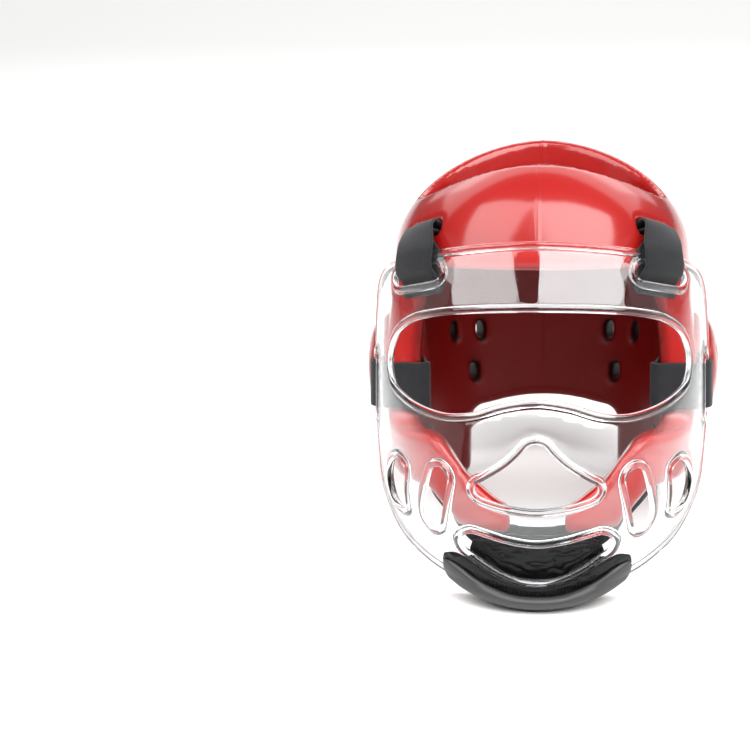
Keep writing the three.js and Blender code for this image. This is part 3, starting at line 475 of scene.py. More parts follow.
def dipped_vinyl(colour):
    """Vinyl skin dipped over closed cell foam.

    It flows before it sets, so it is glossy, with a slow waviness that bends reflections and faint pin
    pricks, drawn 1.6 mm apart, coarser than real, so that they show. The gloss is a coat over a dull base of
    low IOR, which keeps the red deep. Inside the hollow and the vents the red is painted darker, as painted
    shade for the shadow that falls there, darkest in the vents; the coat is left off there, so it is duller.
    """
    material, tree = start_material("dipped_vinyl")
    place = add_node(tree, "ShaderNodeTexCoord").outputs["Object"]
    painted_inner_shade = add_node(tree, "ShaderNodeAttribute", {"attribute_name": "painted_inner_shade"}).outputs["Fac"]
    flow = add_node(tree, "ShaderNodeTexNoise", inputs={
        "Vector": place, "Scale": per_metre(45), "Detail": 2.0, "Roughness": 0.45})
    grain = add_node(tree, "ShaderNodeTexNoise", inputs={
        "Vector": place, "Scale": per_metre(1.6), "Detail": 3.0, "Roughness": 0.6})
    tone = add_node(tree, "ShaderNodeMix", {"data_type": "RGBA"}, {
        0: flow.outputs["Fac"], 6: shade(colour, 0.9), 7: shade(colour, 1.08)})
    # Painted shade: the red goes down to 0.36 of itself inside the hollow, and darker still deep in the
    # vents.
    skin = add_node(tree, "ShaderNodeMix", {"data_type": "RGBA", "clamp_factor": False}, {
        0: painted_inner_shade, 6: tone.outputs[2], 7: shade(colour, 0.36)})
    # The same mask takes the coat off inside, so the inside is also duller.
    coat = add_node(tree, "ShaderNodeMath", {"operation": "SUBTRACT", "use_clamp": True}, {0: 1.0, 1: painted_inner_shade})
    wave = add_node(tree, "ShaderNodeBump", inputs={
        "Strength": 0.12, "Distance": 1.6 * MM, "Height": flow.outputs["Fac"]})
    pricks = add_node(tree, "ShaderNodeBump", inputs={
        "Strength": 0.06, "Distance": 0.08 * MM, "Height": grain.outputs["Fac"],
        "Normal": wave.outputs["Normal"]})
    finish_material(tree, add_node(tree, "ShaderNodeBsdfPrincipled", inputs={
        "Base Color": skin.outputs[2], "Roughness": 0.5, "IOR": 1.25, "Normal": pricks.outputs["Normal"],
        "Coat Weight": coat.outputs[0], "Coat Roughness": 0.15, "Coat IOR": 1.5,
        "Coat Normal": pricks.outputs["Normal"]}))
    return material


def clear_polycarbonate(colour):
    """Polycarbonate moulded clear, with beaded edges.

    It bends what is behind it and mirrors the softboxes. Handling leaves a faint haze, and the mould a slow
    ripple.
    """
    material, tree = start_material("clear_polycarbonate")
    place = add_node(tree, "ShaderNodeTexCoord").outputs["Object"]
    haze = add_node(tree, "ShaderNodeTexNoise", inputs={
        "Vector": place, "Scale": per_metre(14), "Detail": 3.0, "Roughness": 0.55})
    rough = add_node(tree, "ShaderNodeMapRange", inputs={
        "Value": haze.outputs["Fac"], "From Min": 0.35, "From Max": 0.7, "To Min": 0.02, "To Max": 0.06})
    flow = add_node(tree, "ShaderNodeTexNoise", inputs={
        "Vector": place, "Scale": per_metre(60), "Detail": 1.0})
    ripple = add_node(tree, "ShaderNodeBump", inputs={
        "Strength": 0.2, "Distance": 0.8 * MM, "Height": flow.outputs["Fac"]})
    finish_material(tree, add_node(tree, "ShaderNodeBsdfPrincipled", inputs={
        "Base Color": shade(colour, 1), "Roughness": rough.outputs["Result"], "IOR": 1.59,
        "Transmission Weight": 1.0, "Normal": ripple.outputs["Normal"]}))
    return material


def woven_elastic(colour):
    """Knitted elastic tape: cords run along it and covering threads cross them.

    The eye gets fine ribs along the strap, a cross thread that breaks them up, and a dull fuzzy sheen. The
    ribs are drawn 1.2 mm apart and the cross threads 0.9 mm, coarser than real elastic's, so that they show.
    The IOR is lower than a solid thread's, because loose threads shade each other.
    """
    material, tree = start_material("woven_elastic")
    lay = add_node(tree, "ShaderNodeAttribute", {"attribute_name": "lay"}).outputs["Vector"]
    part = add_node(tree, "ShaderNodeSeparateXYZ", inputs={"Vector": lay})
    waves = []
    for axis, pitch in (("Y", WEAVE["rib"]), ("X", WEAVE["thread"])):
        turn = add_node(tree, "ShaderNodeMath", {"operation": "MULTIPLY"}, {
            0: part.outputs[axis], 1: 2 * math.pi * per_metre(pitch)})
        waves.append(add_node(tree, "ShaderNodeMath", {"operation": "SINE"}, {0: turn.outputs[0]}).outputs[0])
    ribs, threads = waves
    weave = add_node(tree, "ShaderNodeMath", {"operation": "MULTIPLY_ADD"}, {0: threads, 1: 0.45, 2: ribs})
    place = add_node(tree, "ShaderNodeTexCoord").outputs["Object"]
    fuzz = add_node(tree, "ShaderNodeTexNoise", inputs={
        "Vector": place, "Scale": per_metre(0.7), "Detail": 2.0})
    wear = add_node(tree, "ShaderNodeTexNoise", inputs={
        "Vector": place, "Scale": per_metre(12), "Detail": 3.0})
    mixed = add_node(tree, "ShaderNodeMath", {"operation": "MULTIPLY_ADD"}, {
        0: weave.outputs[0], 1: 0.05, 2: wear.outputs["Fac"]})
    tone = add_node(tree, "ShaderNodeMix", {"data_type": "RGBA", "clamp_factor": True}, {
        0: mixed.outputs[0], 6: shade(colour, 0.62), 7: shade(colour, 1.35)})
    height = add_node(tree, "ShaderNodeMath", {"operation": "MULTIPLY_ADD"}, {
        0: fuzz.outputs["Fac"], 1: 1.2, 2: weave.outputs[0]})
    bump = add_node(tree, "ShaderNodeBump", inputs={
        "Strength": 0.25, "Distance": 0.16 * MM, "Height": height.outputs[0]})
    finish_material(tree, add_node(tree, "ShaderNodeBsdfPrincipled", inputs={
        "Base Color": tone.outputs[2], "Roughness": 0.78, "IOR": 1.35, "Sheen Weight": 0.12,
        "Sheen Roughness": 0.5, "Normal": bump.outputs["Normal"]}))
    return material


def coated_leather(colour):
    """Thin leather with a polyurethane coat, drawn over soft padding.

    The coat is glossy, and the grain and small creases break its highlights up. The grain is drawn 2.2 mm
    wide, coarser than real, so that it shows. The IOR is lower than a coat's usual 1.5, to match the deep
    black.
    """
    material, tree = start_material("coated_leather")
    place = add_node(tree, "ShaderNodeTexCoord").outputs["Object"]
    pebble = add_node(tree, "ShaderNodeTexVoronoi", {"feature": "DISTANCE_TO_EDGE"}, {
        "Vector": place, "Scale": per_metre(2.2), "Randomness": 1.0})
    stretch = add_node(tree, "ShaderNodeMapping", inputs={"Vector": place, "Scale": (0.35, 1.0, 1.5)})
    crease = add_node(tree, "ShaderNodeTexNoise", {"noise_type": "RIDGED_MULTIFRACTAL"}, {
        "Vector": stretch.outputs["Vector"], "Scale": per_metre(9), "Detail": 3.0, "Roughness": 0.5,
        "Distortion": 1.2})
    tone = add_node(tree, "ShaderNodeMix", {"data_type": "RGBA"}, {
        0: crease.outputs["Fac"], 6: shade(colour, 0.7), 7: shade(colour, 1.4)})
    rough = add_node(tree, "ShaderNodeMapRange", inputs={
        "Value": crease.outputs["Fac"], "From Min": 0.2, "From Max": 1.4, "To Min": 0.3, "To Max": 0.16})
    folds = add_node(tree, "ShaderNodeBump", inputs={
        "Strength": 0.8, "Distance": 1.3 * MM, "Height": crease.outputs["Fac"]})
    skin = add_node(tree, "ShaderNodeBump", inputs={
        "Strength": 0.3, "Distance": 0.25 * MM, "Height": pebble.outputs["Distance"],
        "Normal": folds.outputs["Normal"]})
    finish_material(tree, add_node(tree, "ShaderNodeBsdfPrincipled", inputs={
        "Base Color": tone.outputs[2], "Roughness": rough.outputs["Result"], "IOR": 1.3,
        "Normal": skin.outputs["Normal"]}))
    return material


def satin_rubber(colour):
    """Soft moulded rubber with a spark eroded grain.

    The grain gives a satin sheen and no sharp reflections. It is drawn 1.1 mm coarse so that it shows.
    """
    material, tree = start_material("satin_rubber")
    place = add_node(tree, "ShaderNodeTexCoord").outputs["Object"]
    grain = add_node(tree, "ShaderNodeTexNoise", inputs={
        "Vector": place, "Scale": per_metre(1.1), "Detail": 3.0, "Roughness": 0.65})
    rub = add_node(tree, "ShaderNodeTexNoise", inputs={
        "Vector": place, "Scale": per_metre(18), "Detail": 3.0})
    tone = add_node(tree, "ShaderNodeMix", {"data_type": "RGBA"}, {
        0: rub.outputs["Fac"], 6: shade(colour, 0.72), 7: shade(colour, 1.3)})
    rough = add_node(tree, "ShaderNodeMapRange", inputs={
        "Value": rub.outputs["Fac"], "From Min": 0.3, "From Max": 0.7, "To Min": 0.4, "To Max": 0.55})
    bump = add_node(tree, "ShaderNodeBump", inputs={
        "Strength": 0.25, "Distance": 0.15 * MM, "Height": grain.outputs["Fac"]})
    finish_material(tree, add_node(tree, "ShaderNodeBsdfPrincipled", inputs={
        "Base Color": tone.outputs[2], "Roughness": rough.outputs["Result"], "IOR": 1.5,
        "Normal": bump.outputs["Normal"]}))
    return material


def add_piece(name, points, faces, material):
    """A mesh piece from worn frame points, its faces turned out, that stands for the node of its name."""
    mesh = bpy.data.meshes.new(name)
    mesh.from_pydata(stand(points).tolist(), [], faces)
    work = bmesh.new()
    work.from_mesh(mesh)
    bmesh.ops.recalc_face_normals(work, faces=work.faces)
    work.to_mesh(mesh)
    work.free()
    mesh.shade_smooth()
    mesh.materials.append(material)
    piece = bpy.data.objects.new(name + "_dressed", mesh)
    bpy.context.scene.collection.objects.link(piece)
    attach(piece, BODY)
    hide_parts(name)
    return piece


def ring_faces(rings, closed):
    """Faces over rows of rings with equal counts, closed into a loop or capped at the ends."""
    count, around = rings.shape[:2]
    spans = count if closed else count - 1
    faces = []
    for r in range(spans):
        here, there = r * around, ((r + 1) % count) * around
        for k in range(around):
            after = (k + 1) % around
            faces.append((here + k, here + after, there + after, there + k))
    if not closed:
        faces.append(tuple(range(around)))
        faces.append(tuple(range((count - 1) * around, count * around)))
    return faces


def holds(loop, u, v):
    """Which flat places lie inside a closed flat loop."""
    inside = np.zeros(u.shape, bool)
    for (au, av), (bu, bv) in zip(loop, np.roll(loop, -1, 0)):
        if av != bv:
            crosses = (av > v) != (bv > v)
            inside ^= crosses & (u < au + (v - av) / (bv - av) * (bu - au))
    return inside


def outline_distance(outline, u, v):
    """Signed distance from a closed flat outline at each pair of u and v, negative inside."""
    corners = np.asarray(outline, float)
    pu, pv = np.meshgrid(u, v, indexing="ij")
    nearest = np.full(pu.shape, np.inf)
    for (au, av), (bu, bv) in zip(corners, np.roll(corners, -1, 0)):
        du, dv = bu - au, bv - av
        share = np.clip(((pu - au) * du + (pv - av) * dv) / max(du * du + dv * dv, TINY ** 2), 0, 1)
        nearest = np.minimum(nearest, (pu - au - share * du) ** 2 + (pv - av - share * dv) ** 2)
    return np.where(holds(corners, pu, pv), -1, 1) * np.sqrt(nearest)


def corner_curve(start, corner, end, count=8):
    """Points of a rounded corner."""
    u = np.linspace(0, 1, count)[:, None]
    a, b, c = (np.asarray(p, float) for p in (start, corner, end))
    return (a * (1 - u) ** 2 + 2 * b * u * (1 - u) + c * u ** 2).tolist()


def ellipse(centre, radii, count=96):
    """Points round an ellipse."""
    angle = np.arange(count) * 2 * math.pi / count
    return np.stack([centre[0] + radii[0] * np.cos(angle), centre[1] + radii[1] * np.sin(angle)], -1)


def stadium_distance(u, v, width, height):
    """Signed distance from an upright outline with round ends."""
    return np.hypot(u, np.maximum(np.abs(v) - (height - width) / 2, 0)) - width / 2


def round_cut(body, cut, radius):
    """A body's distance field less a cut, with its new edges rounded."""
    a, b = np.maximum(body + radius, 0), np.maximum(radius - cut, 0)
    return np.minimum(-radius, np.maximum(body, -cut)) + np.hypot(a, b)


def round_join(first, second, radius):
    """Two distance fields joined, with a fillet between them."""
    a, b = np.maximum(radius - first, 0), np.maximum(radius - second, 0)
    return np.maximum(radius, np.minimum(first, second)) - np.hypot(a, b)


def top_strap_frame(side):
    """Where a top strap leaves the shell: mouth, directions out, across and up, and across in the slot."""
    place = places(side * TOP_STRAP["mouth turn"], TOP_STRAP["mouth z"])
    mouth, out = shell_surface(place), outward(shell_surface, place)
    ends = [slot_point(TOP_SLOT, side, 0, along * TOP_STRAP["width"] / 2) for along in (-1, 1)]
    slot_across = unit(ends[0] - ends[1])
    across = unit(slot_across - out * (slot_across @ out))
    return mouth, out, across, np.cross(out, across) * side, slot_across


def slot_point(slot, side, x, y):
    """Point of the shield at a place in a straight slot, measured from the slot's middle."""
    middle = math.radians(slot["turn"])
    by_turn, _ = slopes(shield_surface, np.array([middle, slot["z"]]))
    lean = math.radians(slot["lean"])
    across = np.asarray(x) * math.cos(lean) - np.asarray(y) * math.sin(lean)
    up = np.asarray(x) * math.sin(lean) + np.asarray(y) * math.cos(lean)
    turn = side * (middle + across / np.linalg.norm(by_turn))
    return shield_surface(np.stack([turn, slot["z"] + up], -1))


class FoamField:
    """Distance field of the foam shell on a grid with a plane of points at x = 0."""

    LOW, HIGH = np.array([-124, -136, 30]), np.array([124, 124, 294])
    # Cells on each side of a surface with a distance, for the bodies and while edges are blunted.
    BAND = 9
    BLUNT_BAND = 4
    # Rings up a body's wall and dome, points round each, and degrees that the dome goes round to its cap.
    WALL_RINGS = 70
    DOME_RINGS = 60
    AROUND = 240
    DOME_END = 89

    def __init__(self, cell):
        self.cell = cell
        self.first = np.floor(self.LOW / cell).astype(int)
        count = np.ceil(self.HIGH / cell).astype(int) - self.first + 1
        self.shape = tuple(count)
        self.x, self.y, self.z = (
            (self.first[k] + np.arange(count[k])) * cell for k in range(3))

    def solid(self, points, triangles):
        """Distance field of a closed mesh."""
        grid = openvdb.FloatGrid.createLevelSetFromPolygons(
            np.asarray(points, np.float32), triangles=np.asarray(triangles, np.uint32),
            transform=openvdb.createLinearTransform(self.cell), halfWidth=self.BAND)
        field = np.zeros(self.shape, np.float32)
        grid.copyToArray(field, ijk=tuple(int(k) for k in self.first))
        return field

    def body(self, surface, bottom, base, top):
        """Distance field of the shell's or the hollow's body."""
        lower = np.linspace(bottom, base, self.WALL_RINGS)[:-1]
        dome = base + (top - base) * np.sin(np.radians(np.linspace(0, self.DOME_END, self.DOME_RINGS)))
        turns = np.arange(self.AROUND) * 2 * math.pi / self.AROUND
        rings = surface(np.stack(np.meshgrid(turns, np.concatenate([lower, dome])), -1))
        count, around = rings.shape[:2]
        points = np.vstack([rings.reshape(-1, 3), rings[0].mean(0), rings[-1].mean(0)])
        here = (np.arange(count - 1)[:, None] * around + np.arange(around)).ravel()
        after = (np.arange(count - 1)[:, None] * around + (np.arange(around) + 1) % around).ravel()
        k = np.arange(around)
        bottom_fan = np.stack([np.full(around, count * around), (k + 1) % around, k], -1)
        last = (count - 1) * around
        top_fan = np.stack([np.full(around, count * around + 1), last + k, last + (k + 1) % around], -1)
        sides = (here, after, after + around), (here, after + around, here + around)
        return self.solid(points, np.vstack([*[np.stack(side, -1) for side in sides], bottom_fan, top_fan]))

    def ellipsoids(self, radii, x, y, z):
        """Distance field, near enough, of an ellipsoid on each side."""
        scaled = [(np.abs(self.x)[:, None, None] - x) / radii[0], (self.y[None, :, None] - y) / radii[1],
                  (self.z[None, None, :] - z) / radii[2]]
        reach = np.sqrt(sum(s ** 2 for s in scaled))
        steep = np.sqrt(sum((s / r) ** 2 for s, r in zip(scaled, radii)))
        return reach * (reach - 1) / np.maximum(steep, TINY)

    def along_x(self, outline):
        """Distance from an outline given by y and z."""
        return outline_distance(outline, self.y, self.z)[None, :, :]

    def along_y(self, outline):
        """Distance from an outline given by x and z."""
        return outline_distance(outline, self.x, self.z)[:, None, :]

    def along_z(self, outline):
        """Distance from an outline given by x and y."""
        return outline_distance(outline, self.x, self.y)[:, :, None]

    def mesh(self, field, blunt):
        """Points and faces where the field is zero, taken in and let out by a radius to blunt sharp edges."""
        grid = openvdb.FloatGrid()
        grid.copyFromArray(np.ascontiguousarray(field, np.float32), ijk=tuple(int(k) for k in self.first))
        grid.transform = openvdb.createLinearTransform(self.cell)
        points, quads = grid.convertToQuads(isovalue=0.0)
        for offset in (-blunt, blunt):
            grid = openvdb.FloatGrid.createLevelSetFromPolygons(
                points, quads=quads, transform=openvdb.createLinearTransform(self.cell),
                halfWidth=self.BLUNT_BAND)
            points, quads = grid.convertToQuads(isovalue=offset)
        return points, quads


def vent_distance(vent, wide, y, z):
    """Signed distance from a vent's outline, square to its way out, and distance along that way."""
    vx, vy, vz = vent
    out = unit([vx, vy])
    sideways = out[0] * (y - vy) - out[1] * (wide - vx)
    deep = out[0] * (wide - vx) + out[1] * (y - vy)
    return stadium_distance(sideways, z - vz, VENT["width"], VENT["height"]), deep


def foam_openings(field):
    """The shell's openings as pairs of a distance field and the kind of edge it leaves."""
    x, y, z = field.x[:, None, None], field.y[None, :, None], field.z[None, None, :]
    wide = np.abs(x)
    crown = ellipse((0, CROWN["y"]), (CROWN["half width"], CROWN["half length"]))
    yield np.maximum(field.along_z(crown), CROWN["from z"] - z), "crown"

    temple, corner, cheek = BROW["temple y"], BROW["corner"], BROW["cheek corner"]
    top, bottom = BROW["z"], BROW["cheek z"]
    face = [(BROW["front"], top)]
    face += corner_curve((temple - corner, top), (temple, top), (temple, top - corner))
    face += corner_curve((temple, bottom + cheek), (temple, bottom), (temple - cheek, bottom))
    face += [(BROW["front"], bottom)]
    yield field.along_x(face), "main"

    for edge, level, limit in ((FLAP_TOP, FLAP_CUT_TOP, temple), (FLAP_BOTTOM, 0, HEM[0][0])):
        outline = [(edge[0][0], level), *edge, *[(-u, v) for u, v in reversed(edge)], (-edge[0][0], level)]
        yield np.maximum(field.along_y(outline), y - limit), "main"

    yield field.along_x([(HEM[0][0], 0), *HEM, (HEM[-1][0], 0)]), "main"

    half, shoulder, bend = NAPE["half width"], NAPE["shoulder"], NAPE["corner"]
    nape = [(-half, 0)]
    nape += corner_curve((-half, shoulder - bend), (-half, shoulder), (bend - half, shoulder))
    nape += corner_curve((bend - half, shoulder), (0, NAPE["top"]), (half - bend, shoulder), 16)[1:]
    nape += corner_curve((half - bend, shoulder), (half, shoulder), (half, shoulder - bend))[1:]
    nape += [(half, 0)]
    yield np.maximum(field.along_y(nape), NAPE["from y"] - y), "main"

    window = ellipse((0, REAR_WINDOW["z"]), (REAR_WINDOW["half width"], REAR_WINDOW["half height"]))
    yield np.maximum(field.along_y(window), REAR_WINDOW["from y"] - y), "main"

    hole = stadium_distance(y, z - EAR["z"], EAR_HOLE["width"], EAR_HOLE["height"])
    yield np.maximum(hole, EAR_HOLE["from x"] - wide), "slot"
    for vent in VENTS:
        away, deep = vent_distance(vent, wide, y, z)
        yield np.maximum(away, -VENT["reach"] - deep), "slot"

    slot = SIDE_STRAP_SLOT
    along, up = np.abs(y - slot["y"]) - slot["length"] / 2, np.abs(z - SIDE_SLOT["z"]) - slot["height"] / 2
    yield np.maximum(np.maximum(along, up), slot["from x"] - wide), "slot"

    mouth, out, across, up, _ = top_strap_frame(1)
    offset = np.stack(np.broadcast_arrays(wide - mouth[0], y - mouth[1], z - mouth[2]), -1)
    deep = np.cross(up, across)
    pocket = [np.abs(offset @ axis) - half for axis, half in (
        (across, POCKET["half width"]), (deep, POCKET["depth"]), (up, POCKET["half height"]))]
    yield np.maximum.reduce(pocket), "slot"

    # What lies below the plane that the headgear stands on is cut away.
    cosine, sine = math.cos(REST_TILT), math.sin(REST_TILT)
    yield (z - REST_CHIN["z"]) * cosine - (y - REST_CHIN["y"]) * sine, "slot"


def evened(points, quads, passes, pull=0.5, push=-0.53):
    """Smooths a closed mesh without shrinking it: a pass pulls points together, then pushes them apart."""
    start, end = np.vstack([quads[:, [k, (k + 1) % 4]] for k in range(4)]).T
    count = np.bincount(start, minlength=len(points))[:, None]
    points = points.astype(float)
    for share in (pull, push) * passes:
        near = np.stack([np.bincount(start, points[end, k], len(points)) for k in range(3)], -1) / count
        points += share * (near - points)
    return points


class HEADGEAR_OT_foam_shell(Operator):
    """Dipped foam shell, hollow, with rounded edges, vents and strap slots"""

    bl_idname = "headgear.foam_shell"
    bl_label = "Foam shell"

    # Reach of the painted shade and the uncoated, duller skin in from the hollow, and heights where it fades
    # out.
    SHADE_DEPTH = 11.0
    SHADE_TOP = (212.0, 244.0)
    # Margin round a vent that counts as its wall, its most painted shade, and the depths over which that
    # grows.
    VENT_EDGE = 1.2
    VENT_SHADE = 1.45
    VENT_DEPTH = (2.5, 6.0)
    EVEN_PASSES = 8
    # Lowest height of the crease, and how near the middle a point has to be to lie in it.
    CREASE_FROM = 120.0
    CREASE_REACH = 0.05

    def execute(self, context):
        sizes, colours = context.scene.headgear_sizes, context.scene.headgear_colours
        edges = {"main": sizes.foam_edge / MM, "crown": sizes.crown_edge / MM, "slot": sizes.slot_edge / MM}
        field = FoamField(sizes.foam_cell / MM)
        shell = field.body(shell_surface, SHELL_SECTIONS[0, 0], SHELL_SECTIONS[-1, 0], SHELL_DOME)
        hollow = field.body(hollow_surface, HOLLOW_SECTIONS[0, 0], HOLLOW_SECTIONS[-1, 0], HOLLOW_DOME)
        bulge = field.ellipsoids(EAR["bulge"], EAR["x"], EAR["y"], EAR["z"])
        pocket = field.ellipsoids(EAR["pocket"], EAR["pocket x"], EAR["y"], EAR["z"])
        foam = round_join(shell, bulge, edges["main"])
        foam = np.maximum(foam, -round_join(hollow, pocket, edges["main"]))
        for cut, edge in foam_openings(field):
            foam = round_cut(foam, cut, edges[edge])
        points, faces = self.creased(*field.mesh(foam, sizes.slot_edge / MM), sizes.crease / MM)
        piece = add_piece("foam_shell", points, faces, dipped_vinyl(colours.foam))
        # Painted shade for the hollow and the vents, kept on the points for the material to darken the red.
        painted_inner_shade = piece.data.attributes.new("painted_inner_shade", "FLOAT", "POINT")
        painted_inner_shade.data.foreach_set("value", self.painted_inner_shade(points, field, shell, hollow).astype(np.float32))
        return {"FINISHED"}

    def creased(self, points, quads, depth):
        """Evens the mesh out and presses a fine crease along its middle, where the mould parts."""
        rough = bpy.data.meshes.new("foam")
        rough.from_pydata(evened(points, quads, self.EVEN_PASSES).tolist(), [], quads.tolist())
        work = bmesh.new()
        work.from_mesh(rough)
        bmesh.ops.bisect_plane(
            work, geom=[*work.verts, *work.edges, *work.faces], dist=self.CREASE_REACH, plane_no=(1, 0, 0))
        work.normal_update()
        middle = [v for v in work.verts if abs(v.co.x) <= self.CREASE_REACH and v.co.z > self.CREASE_FROM]
        for vert in middle:
            vert.co -= depth * vert.normal
        work.verts.index_update()
        points = np.array([v.co for v in work.verts])
        faces = [[v.index for v in face.verts] for face in work.faces]
        work.free()
        return points, faces

    def painted_inner_shade(self, points, field, shell, hollow):
        """How much painted shade each point gets in the hollow, from 0 to 1, and more deep in the vents."""
        cell = np.round(points / field.cell).astype(int) - field.first
        cell = tuple(np.clip(cell, 0, np.array(field.shape) - 1).T)
        near = np.clip((self.SHADE_DEPTH - hollow[cell]) / self.SHADE_DEPTH, 0, 1)
        first, full = self.VENT_DEPTH
        deep = self.VENT_SHADE * np.clip((-shell[cell] - first) / (full - first), 0, 1)
        low, high = self.SHADE_TOP
        below = np.clip((high - points[:, 2]) / (high - low), 0, 1)
        inside = eased(near) * below
        # Painted shade: the vents' walls get more than full shade, so they come out nearly black.
        for vent in VENTS:
            away, _ = vent_distance(vent, np.abs(points[:, 0]), points[:, 1], points[:, 2])
            inside = np.where((away < self.VENT_EDGE) & (points[:, 1] > 0), np.maximum(deep, inside), inside)
        return inside


def shield_loops():
    """The shield's bead lines as turns and heights, evenly spaced, with the outline first."""
    tables = []
    for half in (OUTLINE, EYE_OPENING, MOUTH_OPENING, CHIN_SLOT):
        tables.append(half + [(-turn, z) for turn, z in reversed(half[1:-1])])
    for side in SIDES.values():
        tables.append([(side * turn, z) for turn, z in OUTER_VENT])
    lines = [shield_surface(places(*np.array(table, float).T)) for table in tables]
    for side in SIDES.values():
        for slot in (INNER_VENT, TOP_SLOT, SIDE_SLOT):
            radius = slot["width"] / 2
            straight = slot["length"] / 2 - radius
            angle = np.radians(np.linspace(0, 180, SLOT_END_POINTS))
            arc = np.stack([radius * np.cos(angle), straight + radius * np.sin(angle)], -1)
            outline = np.vstack([arc, -arc])
            lines.append(slot_point(slot, side, outline[:, 0], outline[:, 1]))
    loops = []
    for line in lines:
        curve = smooth_curve(line, True)
        length = np.linalg.norm(curve - np.roll(curve, 1, 0), axis=1).sum()
        loops.append(shield_place(evenly(curve, True, int(length / BEAD_STEP))))
    return loops


class HEADGEAR_OT_face_shield(Operator):
    """Clear shield: one curved sheet whose outline and openings carry a round bead"""

    bl_idname = "headgear.face_shield"
    bl_label = "Face shield"

    # Scale that lays turn and z out about evenly, and the share of a cell that points keep off a rim.
    FLAT = np.array([100.0, 1.0])
    RIM_GAP = 0.6

    def execute(self, context):
        sizes, colours = context.scene.headgear_sizes, context.scene.headgear_colours
        radius, cell = sizes.bead / MM, sizes.sheet_cell / MM
        points, faces, rims = [], [], []
        count = 0
        for number, loop in enumerate(shield_loops()):
            rings, rim_places = self.bead_rings(loop, radius, outline=number == 0)
            around = np.arange(len(loop))
            points.append(rings[0][0])
            upper = lower = around + count
            count += len(loop)
            for pair in rings[1:]:
                rows = around + count, around + count + len(loop)
                points += pair
                count += 2 * len(loop)
                for old, new in zip((upper, lower), rows):
                    faces += np.stack([old, np.roll(old, -1), np.roll(new, -1), new], -1).tolist()
                upper, lower = rows
            rims.append((rim_places, upper, lower))
        rim_places, *rim_sides = zip(*rims)
        inner, triangles = self.sheet(rim_places, cell)
        half = radius * BEAD_PROFILE[-1][1]
        for side, off in zip(rim_sides, (half, -half)):
            sheet = np.concatenate([*side, np.arange(len(inner)) + count])
            points.append(off_surface(shield_surface, inner, np.full(len(inner), off)))
            count += len(inner)
            faces += sheet[triangles].tolist()
        material = clear_polycarbonate(colours.clear)
        piece = add_piece("face_shield", np.vstack(points), faces, material)
        piece.visible_shadow = False
        return {"FINISHED"}

    def bead_rings(self, loop, radius, outline):
        """Pairs of outer and inner rings from a bead's rim to the flat sheet, and the last ring's places."""
        line = shield_surface(loop)
        by_turn, by_z = slopes(shield_surface, loop)
        aside = unit(np.cross(tangents(line, True), unit(np.cross(by_turn, by_z))))
        leaves = np.sum(aside * (line - line.mean(0))) > 0
        if leaves == outline:
            aside = -aside
        basis = np.stack([by_turn, by_z], -1)
        step = np.stack([np.linalg.lstsq(b, a, rcond=None)[0] for b, a in zip(basis, aside)])
        rings = []
        for share, half in BEAD_PROFILE:
            ring = loop + step * share * radius
            off = np.full(len(loop), half * radius)
            rings.append((off_surface(shield_surface, ring, off), off_surface(shield_surface, ring, -off)))
        return rings, ring

    def sheet(self, rims, cell):
        """Places inside the rims, and triangles over rims and places together."""
        loops = [rim * self.FLAT for rim in rims]
        low, high = loops[0].min(0), loops[0].max(0)
        rows = np.arange(low[1], high[1], cell * math.sqrt(3) / 2)
        columns = np.arange(low[0], high[0], cell)
        grid = np.array([(u + cell / 2 * (r % 2), v) for r, v in enumerate(rows) for u in columns])
        grid = grid[self.on_sheet(loops, grid)]
        rim_points = np.vstack(loops)
        near = np.array([np.min(np.sum((rim_points - p) ** 2, axis=1)) for p in grid])
        grid = grid[near > (self.RIM_GAP * cell) ** 2]
        edges, start = [], 0
        for loop in loops:
            k = np.arange(len(loop))
            edges += np.stack([start + k, start + (k + 1) % len(loop)], -1).tolist()
            start += len(loop)
        flat = np.vstack([rim_points, grid])
        found = geometry.delaunay_2d_cdt([Vector(p) for p in flat], edges, [], 0, TINY)
        origin = [rows[0] if rows else -1 for rows in found[3]]
        triangles = np.array([[origin[k] for k in face] for face in found[2]])
        triangles = triangles[(triangles >= 0).all(1)]
        return grid / self.FLAT, triangles[self.on_sheet(loops, flat[triangles].mean(1))]

    def on_sheet(self, loops, points):
        """Which flat points lie inside the outline and in none of the openings."""
        outline, *openings = (holds(loop, points[:, 0], points[:, 1]) for loop in loops)
        return outline & ~np.any(openings, axis=0)


def band_section(width, thick, bow=0.0):
    """Section of a strap, as distances across and through it, and how far back a bow draws each point."""
    flat, half = width / 2 - thick / 2, thick / 2
    side = [(across, half) for across in np.linspace(-flat, flat, STRAP_FLAT_POINTS)]
    edge = [(flat + half * math.cos(a), half * math.sin(a)) for a in np.radians(STRAP_EDGE_ANGLES)]
    section = np.array(side + edge)
    section = np.vstack([section, -section])
    return section, -bow * (2 * section[:, 0] / width) ** 2


def add_band(name, line, across, width, thick, closed, material, bow=0.0, bow_way=(0, 0, 0)):
    """A strap along a row of points, which keeps how far along and across it each place is."""
    thick_way = unit(np.cross(tangents(line, closed), across))
    section, drawn = band_section(width, thick, bow)
    rings = (line[:, None] + across[:, None] * section[None, :, :1]
             + thick_way[:, None] * section[None, :, 1:] + drawn[None, :, None] * np.asarray(bow_way, float))
    piece = add_piece(name, rings.reshape(-1, 3), ring_faces(rings, closed), material)
    run = np.concatenate([[0], np.cumsum(np.linalg.norm(np.diff(line, axis=0), axis=1))])
    lay = np.stack(np.broadcast_arrays(run[:, None], section[None, :, 0], section[None, :, 1]), -1) * MM
    attribute = piece.data.attributes.new("lay", "FLOAT_VECTOR", "POINT")
    attribute.data.foreach_set("vector", lay.astype(np.float32).ravel())
    return piece


def upright(line):
    """The direction up at each point of a line."""
    return np.tile([0.0, 0.0, 1.0], (len(line), 1))


